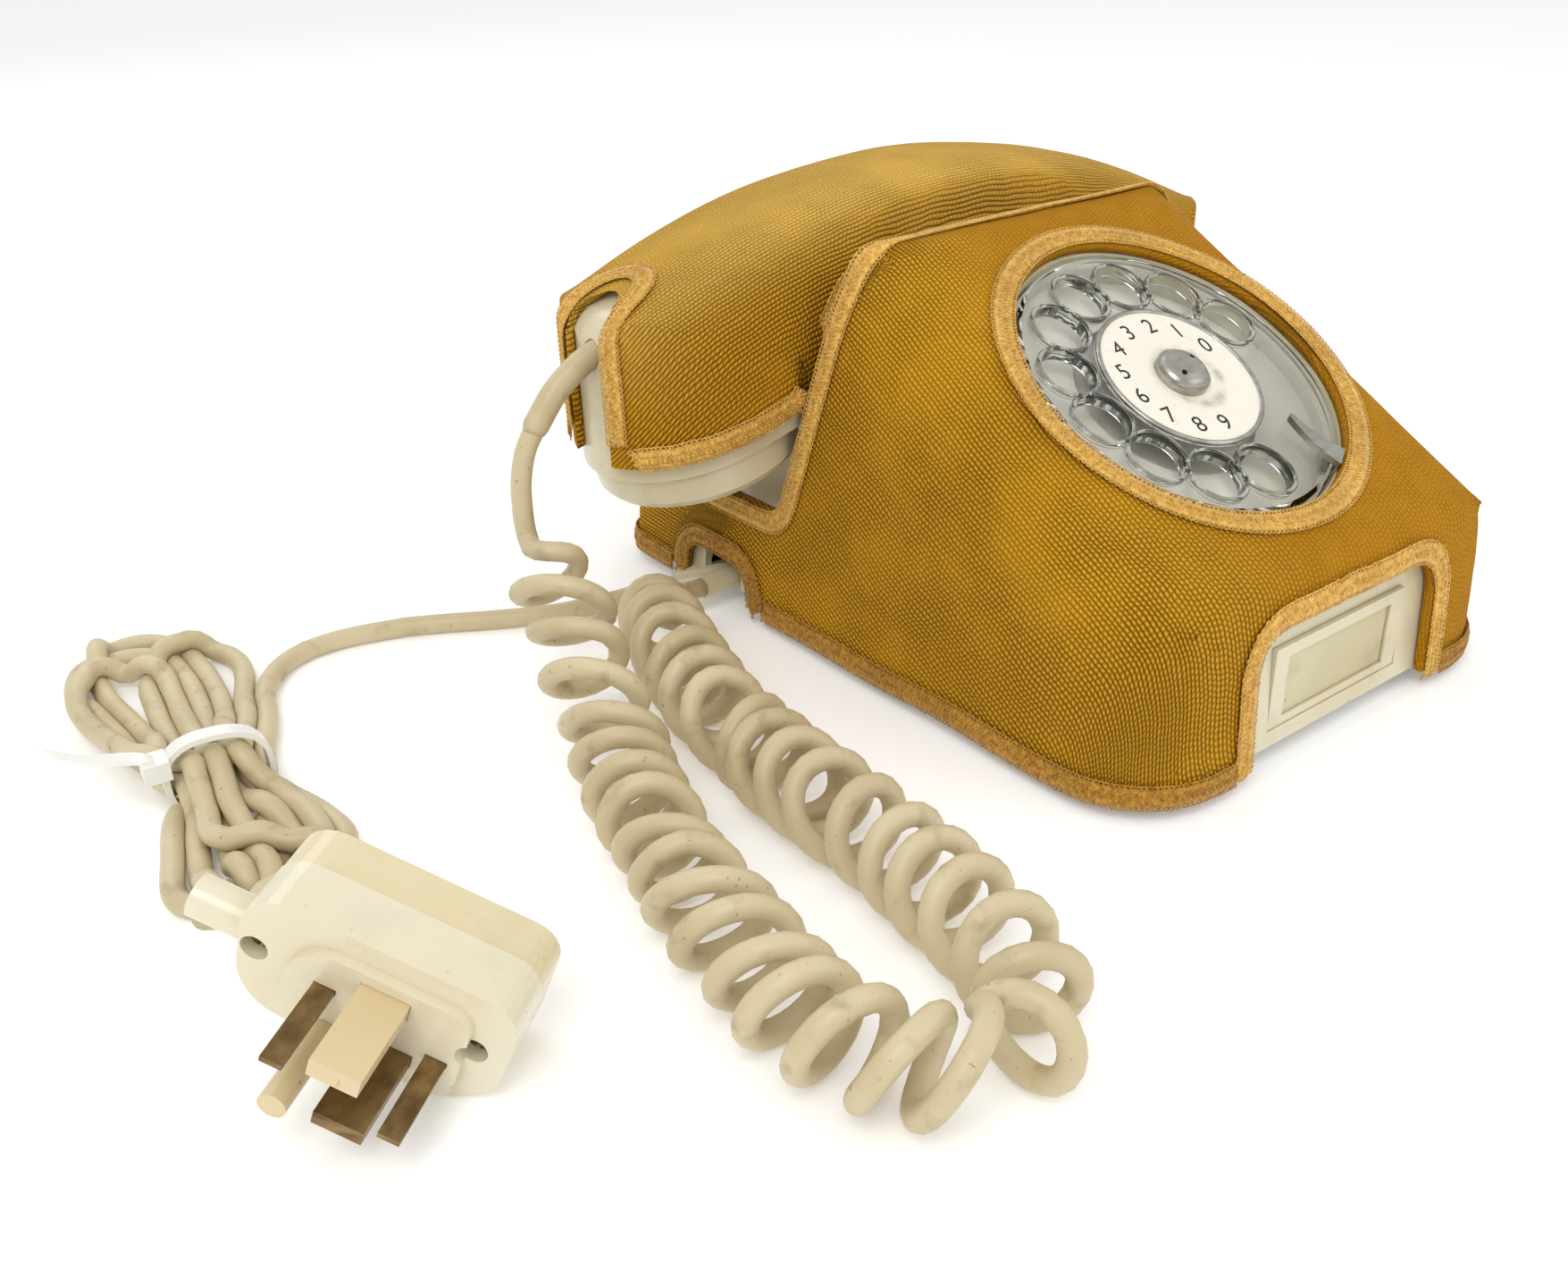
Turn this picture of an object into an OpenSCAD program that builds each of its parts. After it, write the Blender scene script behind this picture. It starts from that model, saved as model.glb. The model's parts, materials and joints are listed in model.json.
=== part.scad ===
// Desk telephone with a rotary dial, in a slip cover of ribbed velvet.
// +X is the telephone's right, -Y its front and +Z is up. The origin lies on the
// table, under the middle of the telephone. All sizes are in millimetres.

/* [Case] */
// Width of the plastic case
case_w = 133; // [120:1:160]
// Length of the plastic case, front to back
case_l = 197; // [180:1:230]
// Wall of the plastic case
case_wall = 2.5; // [2:0.1:3.5]
// Height of the case's lower edge above the table
foot_h = 5.5; // [4:0.1:7]
// Height of the low deck under the handset's caps
deck_z = 34; // [30:0.5:37]
// Distance from the case's front to the ridge before the handset
ridge_run = 108.5; // [106:0.5:112]
// Lean of the case's sides, in degrees
side_lean = 6.5; // [3:0.5:8]
// Rounding of the case's shoulders beside the dial
shoulder_r = 18; // [10:1:20]
// Rounding of the case's corners in plan
corner_r = 20; // [14:1:26]
// Rounding of its rear corners in plan
rear_corner_r = 7; // [5:1:16]

/* [Dial] */
// Radius of the finger wheel
wheel_r = 42; // [38:0.5:43]
// Slope of the dial face from level, in degrees
dial_tilt = 31; // [26:0.5:34]
// Height of the dial's centre
dial_z = 74; // [70:0.5:78]
// Distance from the case's front to the dial's centre
dial_run = 53.5; // [50:0.5:58]
// Radius of a finger hole
finger_hole_r = 7; // [6:0.1:7.4]
// Radius of the circle through the finger holes' centres
finger_ring_r = 31; // [30:0.1:32]
// Angle between two finger holes, in degrees
finger_step = 27.8; // [25:0.1:29]
// Angle of the first finger hole from the telephone's right, in degrees
finger_start = 21; // [15:1:25]
// Radius of the digit disc
disc_r = 21.9; // [20:0.1:22.5]

/* [Handset] */
// Distance between the centres of the two caps
cap_span = 151; // [146:1:164]
// Radius of a cap
cap_r = 28; // [26:0.5:30]
// Height of a cap's rim
cap_h = 10; // [8:0.5:12]
// Lean of each cap towards the middle, in degrees
cap_lean = 14; // [8:1:16]
// Top of the handset's shell at its middle
grip_top = 112; // [110:0.5:118]
// Underside of the grip
grip_under = 86; // [84:0.5:90]
// Width of the grip, front to back
grip_w = 44; // [36:1:50]

/* [Slip cover] */
// Thickness of the velvet with its lining
cloth_t = 2.2; // [1.4:0.1:2.6]
// Gap between the cover and what it wraps
cloth_gap = 0.4; // [0.3:0.1:0.6]
// Thickness of the braid
braid_t = 1.4; // [0.8:0.1:2]
// Width of the braid
braid_w = 6; // [4:0.5:7]
// Width of the cut-out in the cover's front
front_cut_w = 68; // [60:1:74]
// Height of the top of that cut-out
front_cut_z = 36; // [34:0.5:37]

/* [Cords] */
// Diameter of the cords
cord_d = 5.2; // [4.5:0.1:5.6]
// Outer diameter of the curly cord's turns
curl_d = 23; // [19:0.5:23.5]

/* [Plug] */
// Length of the wall plug
plug_l = 53; // [50:1:60]
// Height of the wall plug
plug_h = 27; // [26:1:32]
// Thickness of the plug's base half
plug_base_t = 11; // [10:0.5:15]
// Thickness of the plug's cover half
plug_cover_t = 9; // [8:0.5:13]

/* [Hidden] */
$fn = 72;

big = 400; // longer than anything that is cut

// The case's places, all from the driving sizes
front_y = -case_l / 2;
rear_y = case_l / 2;
dial_y = front_y + dial_run;
ridge_y = front_y + ridge_run;
front_lean = 3;
rear_lean = 1.5;
cradle_run = 15.5;
cradle_y = ridge_y + cradle_run;
function face_z(y) = dial_z + tan(dial_tilt) * (y - dial_y);
floor_t = 2;
inner_floor_z = foot_h + floor_t;
cover_out = cloth_gap + cloth_t;
braid_out = cover_out + 0.1 + braid_t;

// The handset's places
grip_y = 52;
cap_x = cap_span / 2;
cap_bottom_z = 46;
head_r = cap_r + 1;
head_round = 14;
grip_round = 17;
grip_arc_r = 230;
shell_wall = 2.5;
cap_wall = 2;

// ---- outlines ----

function unit(v) = v / norm(v);
function turn_of(a, b, c) = sign((b[0] - a[0]) * (c[1] - b[1]) - (b[1] - a[1]) * (c[0] - b[0]));
function out_normal(a, b) = let (d = unit(b - a)) [d[1], -d[0]];
function before(p, i) = p[(i + len(p) - 1) % len(p)];
function after(p, i) = p[(i + 1) % len(p)];

// A counter-clockwise outline with each side moved outwards by g
function grow_outline(p, g) = [
    for (i = [0 : len(p) - 1])
        let (m = out_normal(before(p, i), p[i]), n = out_normal(p[i], after(p, i)))
        p[i] + g * (m + n) / (1 + m * n)
];

// One corner turned into an arc of radius r
function corner_arc(a, b, c, r, steps = 6) = r <= 0.01 ? [b] :
    let (
        d1 = unit(a - b),
        d2 = unit(c - b),
        half = acos(d1 * d2) / 2,
        centre = b + unit(d1 + d2) * r / sin(half),
        start = b + d1 * r / tan(half) - centre,
        first = atan2(start[1], start[0]),
        sweep = turn_of(a, b, c) * (180 - 2 * half)
    )
    [for (k = [0 : steps]) centre + r * [cos(first + sweep * k / steps), sin(first + sweep * k / steps)]];

// An outline grown by g, with the corners' radii r growing or shrinking to match
function soft_outline(p, r, g) = let (q = grow_outline(p, g)) [
    for (i = [0 : len(p) - 1])
        each corner_arc(before(q, i), q[i], after(q, i),
            r[i] + g * turn_of(before(p, i), p[i], after(p, i)))
];

// Draws a (Y, Z) outline across the telephone's width
module across(w) {
    rotate([90, 0, 90])
        linear_extrude(w, center = true)
            children();
}

// Draws an (X, Z) outline along the telephone's length
module along(l) {
    rotate([90, 0, 0])
        linear_extrude(l, center = true)
            children();
}

// Puts what is drawn flat on the dial's sloping face
module on_dial(lift = 0) {
    translate([0, dial_y, dial_z])
        rotate([dial_tilt, 0, 0])
            translate([0, 0, lift])
                children();
}

module ring(outer, inner, height) {
    difference() {
        cylinder(r = outer, h = height);
        translate([0, 0, -1])
            cylinder(r = inner, h = height + 2);
    }
}

// ---- case ----

side_points = [
    [front_y, foot_h],
    [rear_y, foot_h],
    [rear_y - rear_lean, deck_z],
    [cradle_y, deck_z],
    [ridge_y, face_z(ridge_y)],
    [front_y + front_lean, face_z(front_y + front_lean)]
];
side_radii = [0, 0, 6, 8, 7, 9];

// The case's outline in plan at its lower edge, grown by g
function case_plan(g) = soft_outline([
    [-case_w / 2, front_y],
    [case_w / 2, front_y],
    [case_w / 2, rear_y],
    [-case_w / 2, rear_y]
], [corner_r, corner_r, rear_corner_r, rear_corner_r], g);

// A prism that leans with the right side and gives it its rounded upright corners
module leaning_side(g) {
    side_clear = 0.05;
    translate([case_w / 2 + side_clear, 0, foot_h])
        rotate([0, -side_lean, 0])
            translate([0, 0, -big / 4])
                linear_extrude(big)
                    polygon(soft_outline([
                        [-big / 2, front_y],
                        [0, front_y],
                        [0, rear_y],
                        [-big / 2, rear_y]
                    ], [0, corner_r, rear_corner_r, 0], g));
}

// A prism that lies in the dial's slope, whose rounded edge is the right shoulder
module leaning_shoulder(g) {
    rise = tan(side_lean);
    turn = atan(rise * sin(dial_tilt));
    slant = rise * cos(dial_tilt) * cos(turn);
    half_w = (case_w / 2 - rise * (dial_z - foot_h)) * cos(turn);
    on_dial()
        rotate([0, 0, turn])
            along(big)
                polygon(soft_outline([
                    [-big / 2, -big / 2],
                    [half_w + slant * big / 2, -big / 2],
                    [half_w, 0],
                    [-big / 2, 0]
                ], [0, 0, shoulder_r, 0], g));
}

// The case's outer form, grown by g
module case_form(g) {
    intersection() {
        across(case_w + 2 * g)
            polygon(soft_outline(side_points, side_radii, g));
        leaning_side(g);
        mirror([1, 0, 0])
            leaning_side(g);
        leaning_shoulder(g);
        mirror([1, 0, 0])
            leaning_shoulder(g);
    }
}

dial_hole_r = wheel_r + 1.2;
bezel_deep = 10;
tower_w = 76;
tower_y0 = cradle_y + 2;
tower_y1 = grip_y + 27;
tower_z = grip_under - 8;
plunger_x = 24;
plunger_r = 3.5;
plunger_bore_r = plunger_r + 0.08;
card_w = 49.4;
card_h = 20.6;
card_z = 9.6;
card_frame_t = 1.5;
card_pocket_y = front_y + 0.6;
gland_y = 54;
gland_z = 8;
gland_angle = 151;
post_x = 46;
post_y = 74;
post_r = 4;
screw_r = 1.6;

// The cradle tower that carries the handset's grip, standing on the deck
module tower(g) {
    tower_low = deck_z - case_wall - 1;
    translate([-tower_w / 2 - g, tower_y0 - g, tower_low])
        cube([tower_w + 2 * g, tower_y1 - tower_y0 + 2 * g, tower_z + g - tower_low]);
}

// Screw posts that reach from the base plate to the case's roof
module case_posts() {
    difference() {
        intersection() {
            for (x = [-post_x, post_x], y = [-post_y, post_y])
                translate([x, y, inner_floor_z + 0.1])
                    cylinder(r = post_r, h = dial_z);
            case_form(-case_wall / 2);
        }
        for (x = [-post_x, post_x], y = [-post_y, post_y])
            translate([x, y, inner_floor_z - 1])
                cylinder(r = screw_r, h = 12);
    }
}

module case_shell() {
    color("ivory") {
        difference() {
            union() {
                case_form(0);
                tower(0);
            }
            difference() {
                union() {
                    case_form(-case_wall);
                    tower(-case_wall);
                }
                // the bezel that carries the dial
                on_dial(-bezel_deep)
                    cylinder(r = dial_hole_r + 3, h = bezel_deep);
            }
            translate([0, 0, foot_h - 1])
                linear_extrude(case_wall + 2)
                    polygon(case_plan(-case_wall));
            on_dial(-big / 2)
                cylinder(r = dial_hole_r, h = big);
            for (x = [-plunger_x, plunger_x])
                translate([x, grip_y, 0])
                    cylinder(r = plunger_bore_r, h = big);
            // pocket for the card frame
            translate([-card_w / 2 - 0.2, front_y - 10, card_z - 0.2])
                cube([card_w + 0.4, 10.6 + card_frame_t + 0.1, card_h + 0.4]);
            // notch for the cords
            translate([-case_w / 2 - 5, gland_y - 8, 0])
                cube([20, 17, gland_z + 6]);
        }
        case_posts();
    }
}

module base_plate() {
    inset = case_wall + 0.3;
    color("dimgray")
        difference() {
            translate([0, 0, foot_h])
                linear_extrude(floor_t)
                    polygon(case_plan(-inset));
            for (x = [-post_x, post_x], y = [-post_y, post_y])
                translate([x, y, 0])
                    cylinder(r = screw_r + 0.3, h = 20);
            for (x = [-foot_x, foot_x], y = [-foot_y, foot_y])
                translate([x, y, 0])
                    cylinder(r = foot_peg_r + 0.1, h = 20);
            // notch for the cords
            translate([-case_w / 2 - 5, gland_y - 8, 0])
                cube([12, 17, gland_z + 6]);
        }
}

foot_x = 52;
foot_y = 58;
foot_r = 6;
foot_peg_r = 2.5;

module rubber_feet() {
    color("black")
        for (x = [-foot_x, foot_x], y = [-foot_y, foot_y])
            translate([x, y, 0])
                rotate_extrude()
                    polygon([[0, 0], [foot_r - 1, 0], [foot_r, 1.2], [foot_r, foot_h - 0.1],
                        [foot_peg_r, foot_h - 0.1], [foot_peg_r, inner_floor_z + 0.6],
                        [foot_peg_r + 0.9, inner_floor_z + 0.6],
                        [foot_peg_r, inner_floor_z + 2.2], [0, inner_floor_z + 2.2]]);
}

module base_screws() {
    color("silver")
        for (x = [-post_x, post_x], y = [-post_y, post_y])
            translate([x, y, foot_h - 1.7])
                difference() {
                    union() {
                        cylinder(r = 3, h = 1.6);
                        cylinder(r = screw_r - 0.1, h = 11);
                    }
                    translate([-4, -0.4, -1])
                        cube([8, 0.8, 1.7]);
                }
}

module card_frame() {
    color("ivory")
        translate([0, card_pocket_y, card_z])
            difference() {
                translate([-card_w / 2, 0, 0])
                    cube([card_w, card_frame_t, card_h]);
                translate([-card_w / 2 + 5, -1, 2])
                    cube([card_w - 10, 1.6, card_h - 5]);
                translate([-card_w / 2 + 4, 0.6, 1.4])
                    cube([card_w - 8, 0.6, card_h - 3.8]);
            }
}

module number_card() {
    color("whitesmoke")
        translate([-card_w / 2 + 4.2, card_pocket_y + 0.75, card_z + 1.6])
            cube([card_w - 8.4, 0.3, card_h - 4.2]);
}

// ---- slip cover ----

front_cut_r = 9;
arch_cut_w = 30;
arch_cut_z = 15;
arch_cut_r = 7;
cover_hole_r = dial_hole_r + 0.6;

// What the front cut-out takes away, grown by g
module front_cut(g) {
    translate([0, front_y - 20, 0])
        rotate([90, 0, 0])
            linear_extrude(60, center = true)
                polygon(soft_outline([
                    [-front_cut_w / 2, -20],
                    [front_cut_w / 2, -20],
                    [front_cut_w / 2, front_cut_z],
                    [-front_cut_w / 2, front_cut_z]
                ], [0, 0, front_cut_r, front_cut_r], g));
}

// What the arch for the cords takes away, grown by g
module arch_cut(g) {
    translate([-case_w / 2, 0, 0])
        across(40)
            polygon(soft_outline([
                [gland_y - arch_cut_w / 2, -20],
                [gland_y + arch_cut_w / 2, -20],
                [gland_y + arch_cut_w / 2, arch_cut_z],
                [gland_y - arch_cut_w / 2, arch_cut_z]
            ], [0, 0, arch_cut_r, arch_cut_r], g));
}

// What the cradle opening takes away, grown by g
module cradle_cut(g) {
    across(big)
        polygon(soft_outline([
            [cradle_y + 2.5, deck_z],
            [rear_y - 9, deck_z],
            [rear_y - 9, big / 2],
            [ridge_y + 1, big / 2],
            [ridge_y + 1, face_z(ridge_y) - 12]
        ], [5, 4, 0, 0, 4], g));
}

module body_cover() {
    color("goldenrod")
        difference() {
            case_form(cover_out);
            case_form(cloth_gap);
            translate([-big / 2, -big / 2, -big + foot_h])
                cube([big, big, big - cloth_gap]);
            translate([0, 0, foot_h - 10])
                linear_extrude(11)
                    polygon(case_plan(cloth_gap));
            front_cut(0);
            arch_cut(0);
            cradle_cut(0);
            tower(cloth_gap + 3);
            on_dial(-20)
                cylinder(r = cover_hole_r, h = 60);
        }
}

// A skin just outside the cover, as thick as the braid
module braid_skin() {
    difference() {
        case_form(braid_out);
        case_form(cover_out + 0.1);
    }
}

module hem_braid() {
    color("khaki")
        difference() {
            braid_skin();
            translate([-big / 2, -big / 2, hem_z + braid_w])
                cube([big, big, big]);
            translate([-big / 2, -big / 2, hem_z - big])
                cube([big, big, big]);
            front_cut(braid_w + 0.2);
            arch_cut(braid_w + 0.2);
        }
}
hem_z = 3;

module front_braid() {
    color("khaki")
        difference() {
            intersection() {
                braid_skin();
                front_cut(braid_w);
            }
            front_cut(0);
            translate([-big / 2, -big / 2, hem_z - big])
                cube([big, big, big]);
        }
}

module arch_braid() {
    color("khaki")
        difference() {
            intersection() {
                braid_skin();
                arch_cut(braid_w);
            }
            arch_cut(0);
            translate([-big / 2, -big / 2, hem_z - big])
                cube([big, big, big]);
        }
}

module cradle_braid() {
    color("khaki")
        difference() {
            intersection() {
                braid_skin();
                cradle_cut(braid_w);
            }
            cradle_cut(0);
            on_dial(-20)
                cylinder(r = dial_braid_r + 0.3, h = 60);
        }
}

dial_braid_r = cover_hole_r + braid_w + 0.7;

module dial_braid() {
    color("khaki")
        on_dial(cover_out + 0.1)
            ring(dial_braid_r, cover_hole_r, braid_t);
}

// ---- dial ----

cup_r = dial_hole_r - 0.3;
cup_deep = 12;
cup_top = -4.2;
ring_n = -8;
wheel_under = -2.2;
wheel_t = 3.2;
stop_n = wheel_under + wheel_t + 0.4;
shaft_r = 3;
shaft_bore_r = shaft_r + 0.05;
hub_r = 7;
plate_n = -cup_deep;
gear_n = plate_n - 7;
back_plate_n = -cup_deep - 22;

// The rotation of the finger stop on the dial
stop_angle = finger_start - 79;

module dial_cup() {
    color("gray")
        on_dial(-cup_deep) {
            difference() {
                cylinder(r = cup_r, h = cup_deep + cup_top);
                translate([0, 0, 2])
                    cylinder(r = cup_r - 4, h = cup_deep);
                translate([0, 0, cup_deep + ring_n - 0.05])
                    cylinder(r = cup_r - 2, h = cup_deep);
                translate([0, 0, -1])
                    cylinder(r = shaft_bore_r, h = 20);
                translate([transfer_x, transfer_y, -1])
                    cylinder(r = small_shaft_r + 0.05, h = 20);
                translate([governor_x, governor_y, -1])
                    cylinder(r = small_shaft_r + 0.05, h = 20);
            }
            // pillars that hold the works' back plate
            for (a = [50, 180, 290])
                rotate([0, 0, a])
                    translate([cup_r - 8, 0, -22])
                        cylinder(r = 2, h = 22.1);
            translate([0, 0, -24])
                difference() {
                    cylinder(r = cup_r - 4, h = 2);
                    translate([0, 0, -1])
                        cylinder(r = shaft_bore_r, h = 20);
                    translate([transfer_x, transfer_y, -1])
                        cylinder(r = small_shaft_r + 0.05, h = 20);
                    translate([governor_x, governor_y, -1])
                        cylinder(r = small_shaft_r + 0.05, h = 20);
                }
        }
}

module dial_ring() {
    color("silver")
        on_dial(ring_n)
            ring(cup_r - 2.05, disc_r + 2, 0.8);
}

// The bent finger stop, a blade that starts outside the wheel and hooks inwards
module finger_stop() {
    color("silver")
        on_dial(0)
            rotate([0, 0, stop_angle]) {
                translate([0, 0, stop_n])
                    linear_extrude(1.6)
                        polygon([
                            for (k = [0 : 8]) stop_edge(k / 8, 1),
                            for (k = [8 : -1 : 0]) stop_edge(k / 8, -1)
                        ]);
                translate([wheel_r + 0.3, -3, cup_top + 0.05])
                    cube([0.6, 6, stop_n + 1.5 - cup_top]);
                translate([wheel_r - 2, -3, cup_top + 0.05])
                    cube([2.9, 6, 0.8]);
            }
}
// One edge of the stop's blade: it narrows and curves towards its tip
function stop_edge(k, s) = [wheel_r + 0.9 - 15 * k, 5 * k * k + s * (3 - 2.2 * k)];

module finger_wheel() {
    color("lightcyan", 0.5)
        on_dial(wheel_under)
            difference() {
                rotate_extrude()
                    polygon([[shaft_bore_r + 2, 0], [wheel_r - 0.8, 0], [wheel_r, 0.8],
                        [wheel_r, wheel_t - 1], [wheel_r - 1, wheel_t],
                        [disc_r + 0.3, wheel_t], [disc_r + 0.3, wheel_t - 1],
                        [shaft_bore_r + 2, wheel_t - 1]]);
                for (k = [0 : 9])
                    rotate([0, 0, finger_start + finger_step * k])
                        translate([finger_ring_r, 0, -1])
                            cylinder(r = finger_hole_r, h = wheel_t + 2);
            }
}

module number_disc() {
    color("white")
        on_dial(wheel_under + wheel_t - 0.9)
            difference() {
                cylinder(r = disc_r, h = 1.3);
                translate([0, 0, -1])
                    cylinder(r = shaft_r + 0.3, h = 4);
            }
}

module hub_nut() {
    color("silver")
        on_dial(wheel_under + wheel_t + 0.5)
            difference() {
                rotate_extrude()
                    polygon([[shaft_bore_r, 0], [hub_r, 0], [hub_r, 1.6],
                        for (k = [0 : 6]) [(hub_r - 0.5) * cos(k * 15), 1.6 + 2.4 * sin(k * 15)],
                        [0, 2], [shaft_bore_r, 2]]);
                for (s = [-1, 1])
                    rotate([0, 0, 30])
                        translate([s * 3.6, 0, 1.8])
                            cylinder(r = 0.7, h = 5);
            }
}

module dial_shaft() {
    color("silver")
        on_dial(back_plate_n - 2.5) {
            cylinder(r = shaft_r, h = wheel_under + wheel_t + 2.3 - back_plate_n + 2.5);
            // shoulder that carries the wheel
            translate([0, 0, 2.5 - back_plate_n + wheel_under - 2.2])
                cylinder(r = 8, h = 2);
        }
}

gear_module = 1;
main_teeth = 44;
pinion_teeth = 11;
transfer_teeth = 36;
governor_teeth = 10;
gear_play = 0.35;
transfer_angle = 100;
mesh_r = gear_module * (main_teeth + pinion_teeth) / 2 + gear_play;
governor_mesh_r = gear_module * (transfer_teeth + governor_teeth) / 2 + gear_play;
governor_angle = 205;
transfer_x = mesh_r * cos(transfer_angle);
transfer_y = mesh_r * sin(transfer_angle);
governor_x = transfer_x + governor_mesh_r * cos(governor_angle);
governor_y = transfer_y + governor_mesh_r * sin(governor_angle);
small_shaft_r = 1.2;

// A spur gear with straight-sided teeth, one tooth on the angle given
module spur(teeth, height, bore, angle) {
    pitch_r = gear_module * teeth / 2;
    root_r = pitch_r - 0.95 * gear_module;
    rotate([0, 0, angle])
        difference() {
            linear_extrude(height)
                union() {
                    circle(r = root_r);
                    for (k = [0 : teeth - 1])
                        rotate([0, 0, 360 * k / teeth])
                            polygon([[root_r - 0.4, -0.8], [pitch_r, -0.55],
                                [pitch_r + 0.75 * gear_module, -0.25],
                                [pitch_r + 0.75 * gear_module, 0.25],
                                [pitch_r, 0.55], [root_r - 0.4, 0.8]]);
                }
            translate([0, 0, -1])
                cylinder(r = bore, h = height + 2);
        }
}

// Angle that sets a tooth gap of a gear towards the direction given
function gap_towards(direction, teeth) = direction + 180 / teeth;

module main_gear() {
    color("goldenrod")
        on_dial(gear_n)
            spur(main_teeth, 2, shaft_r, transfer_angle);
}

module transfer_gear() {
    color("goldenrod")
        on_dial() {
            translate([transfer_x, transfer_y, gear_n - 0.5])
                spur(pinion_teeth, 3, small_shaft_r - 0.2, gap_towards(transfer_angle + 180, pinion_teeth));
            translate([transfer_x, transfer_y, gear_n - 5])
                spur(transfer_teeth, 2, small_shaft_r - 0.2, governor_angle);
            translate([transfer_x, transfer_y, gear_n - 5])
                cylinder(r = 3.4, h = 5);
            translate([transfer_x, transfer_y, back_plate_n - 2.2])
                cylinder(r = small_shaft_r, h = plate_n - back_plate_n + 3.8);
        }
}

rotor_r = 7.5;
module governor_rotor() {
    color("silver")
        on_dial()
            translate([governor_x, governor_y, 0]) {
                translate([0, 0, gear_n - 5.5])
                    spur(governor_teeth, 3, small_shaft_r - 0.2,
                        gap_towards(governor_angle + 180, governor_teeth));
                translate([0, 0, back_plate_n - 2.2])
                    cylinder(r = small_shaft_r, h = plate_n - back_plate_n + 3.8);
                // arm with its two fly weights
                translate([-rotor_r + 1, -1, gear_n + 1])
                    cube([2 * rotor_r - 2, 2, 1.2]);
                for (s = [-1, 1])
                    translate([s * (rotor_r - 2), 0, gear_n + 0.6])
                        cylinder(r = 2, h = 3.4);
            }
}

module governor_cup() {
    cup_n = gear_n + 2.5;
    color("gray")
        on_dial(cup_n)
            translate([governor_x, governor_y, 0])
                difference() {
                    cylinder(r = rotor_r + 1.6, h = plate_n - cup_n - 0.05);
                    translate([0, 0, -1])
                        cylinder(r = rotor_r + 0.5, h = plate_n - cup_n - 0.5);
                    translate([0, 0, -1])
                        cylinder(r = small_shaft_r + 0.1, h = 20);
                }
}

module return_spring() {
    spring_r = 5.2;
    wire_r = 0.6;
    color("dimgray")
        on_dial(back_plate_n + 1)
            rotate_extrude()
                polygon([
                    for (k = [0 : 5], a = [-60 : 30 : 60])
                        [spring_r + wire_r * cos(a), k * 2 * wire_r * 0.87 + wire_r * sin(a)],
                    for (k = [5 : -1 : 0], a = [120 : 30 : 240])
                        [spring_r + wire_r * cos(a), k * 2 * wire_r * 0.87 + wire_r * sin(a)]
                ]);
}

// Leaf springs that the works open and close
module pulse_contacts() {
    color("gold")
        on_dial(back_plate_n + 2.5)
            for (k = [0 : 2])
                translate([-3 + k * 2, -cup_r + 9, 0.8]) {
                    cube([0.5, 16, 5]);
                    translate([0, 0, -3.25])
                        cube([1.6, 4, 3.3]);
                }
}

// ---- ringer ----

gong_r = 17.5;
gong_y = 74;
gong_x = 22.5;
gong_z = inner_floor_z + 10;
gong_h = 11;

module gong(side) {
    color("silver")
        translate([side * gong_x, gong_y, gong_z])
            difference() {
                rotate_extrude()
                    polygon([[2, gong_h], [gong_r * 0.55, gong_h], [gong_r * 0.9, gong_h * 0.75],
                        [gong_r, 0], [gong_r - 1.3, 0], [gong_r * 0.9 - 1.3, gong_h * 0.75 - 1],
                        [gong_r * 0.5, gong_h - 1.3], [2, gong_h - 1.3]]);
            }
}

module gong_left() gong(-1);
module gong_right() gong(1);

module gong_screws() {
    color("silver")
        for (s = [-1, 1])
            translate([s * gong_x, gong_y, 0]) {
                translate([0, 0, inner_floor_z + 0.05])
                    cylinder(r = 3.5, h = gong_z + gong_h - 1.35 - inner_floor_z - 0.05);
                cylinder_from(1.9, gong_z + gong_h - 1.4, gong_z + gong_h + 0.1);
                cylinder_from(3.6, gong_z + gong_h + 0.05, gong_z + gong_h + 2);
            }
}

module cylinder_from(r, low, high) {
    translate([0, 0, low])
        cylinder(r = r, h = high - low);
}

ringer_y = 46;

module ringer_frame() {
    color("gray")
        difference() {
            translate([-17, ringer_y - 9, inner_floor_z + 0.05])
                union() {
                    cube([34, 18, 1.5]);
                    cube([34, 1.5, 13]);
                }
            translate([0, ringer_y + 4, 0])
                cylinder(r = 1.55, h = 50);
        }
}

module ringer_coils() {
    color("darkred")
        for (s = [-1, 1])
            translate([s * 9, ringer_y - 7.4, inner_floor_z + 8.5])
                rotate([-90, 0, 0]) {
                    cylinder(r = 2, h = 9.5);
                    translate([0, 0, 1])
                        cylinder(r = 5.2, h = 8);
                }
}

module clapper() {
    color("goldenrod")
        translate([0, ringer_y + 4, 0]) {
            cylinder_from(1.5, inner_floor_z + 0.1, inner_floor_z + 12);
            translate([-14, -0.2, inner_floor_z + 6])
                cube([28, 1.4, 4]);
            translate([-0.6, 0, inner_floor_z + 10.4])
                cube([1.2, gong_y - ringer_y - 4, 1.2]);
            translate([0, gong_y - ringer_y - 4, inner_floor_z + 11])
                sphere(r = 3.4);
        }
}

// ---- electrics ----

board_z = inner_floor_z + 4;

module circuit_board() {
    color("peru")
        translate([-41, -80, board_z]) {
            difference() {
                cube([82, 52, 1.6]);
                for (x = [6, 76], y = [6, 46])
                    translate([x, y, -1])
                        cylinder(r = 1.6, h = 5);
            }
            for (x = [17, 41, 65])
                translate([x, 26, -3.95])
                    cylinder(r = 2, h = 4);
            // small parts soldered to the board
            for (k = [0 : 4])
                translate([14 + 9 * k, 10, 1.5])
                    cube([6, 2.4, 2.4]);
        }
}

module induction_coil() {
    color("sandybrown")
        translate([-30, -50, board_z + 1.65]) {
            cube([24, 20, 1.5]);
            translate([2, 2, 1.4])
                cube([20, 16, 13]);
            translate([-1, 6, 5])
                cube([26, 8, 6]);
        }
}

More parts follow.
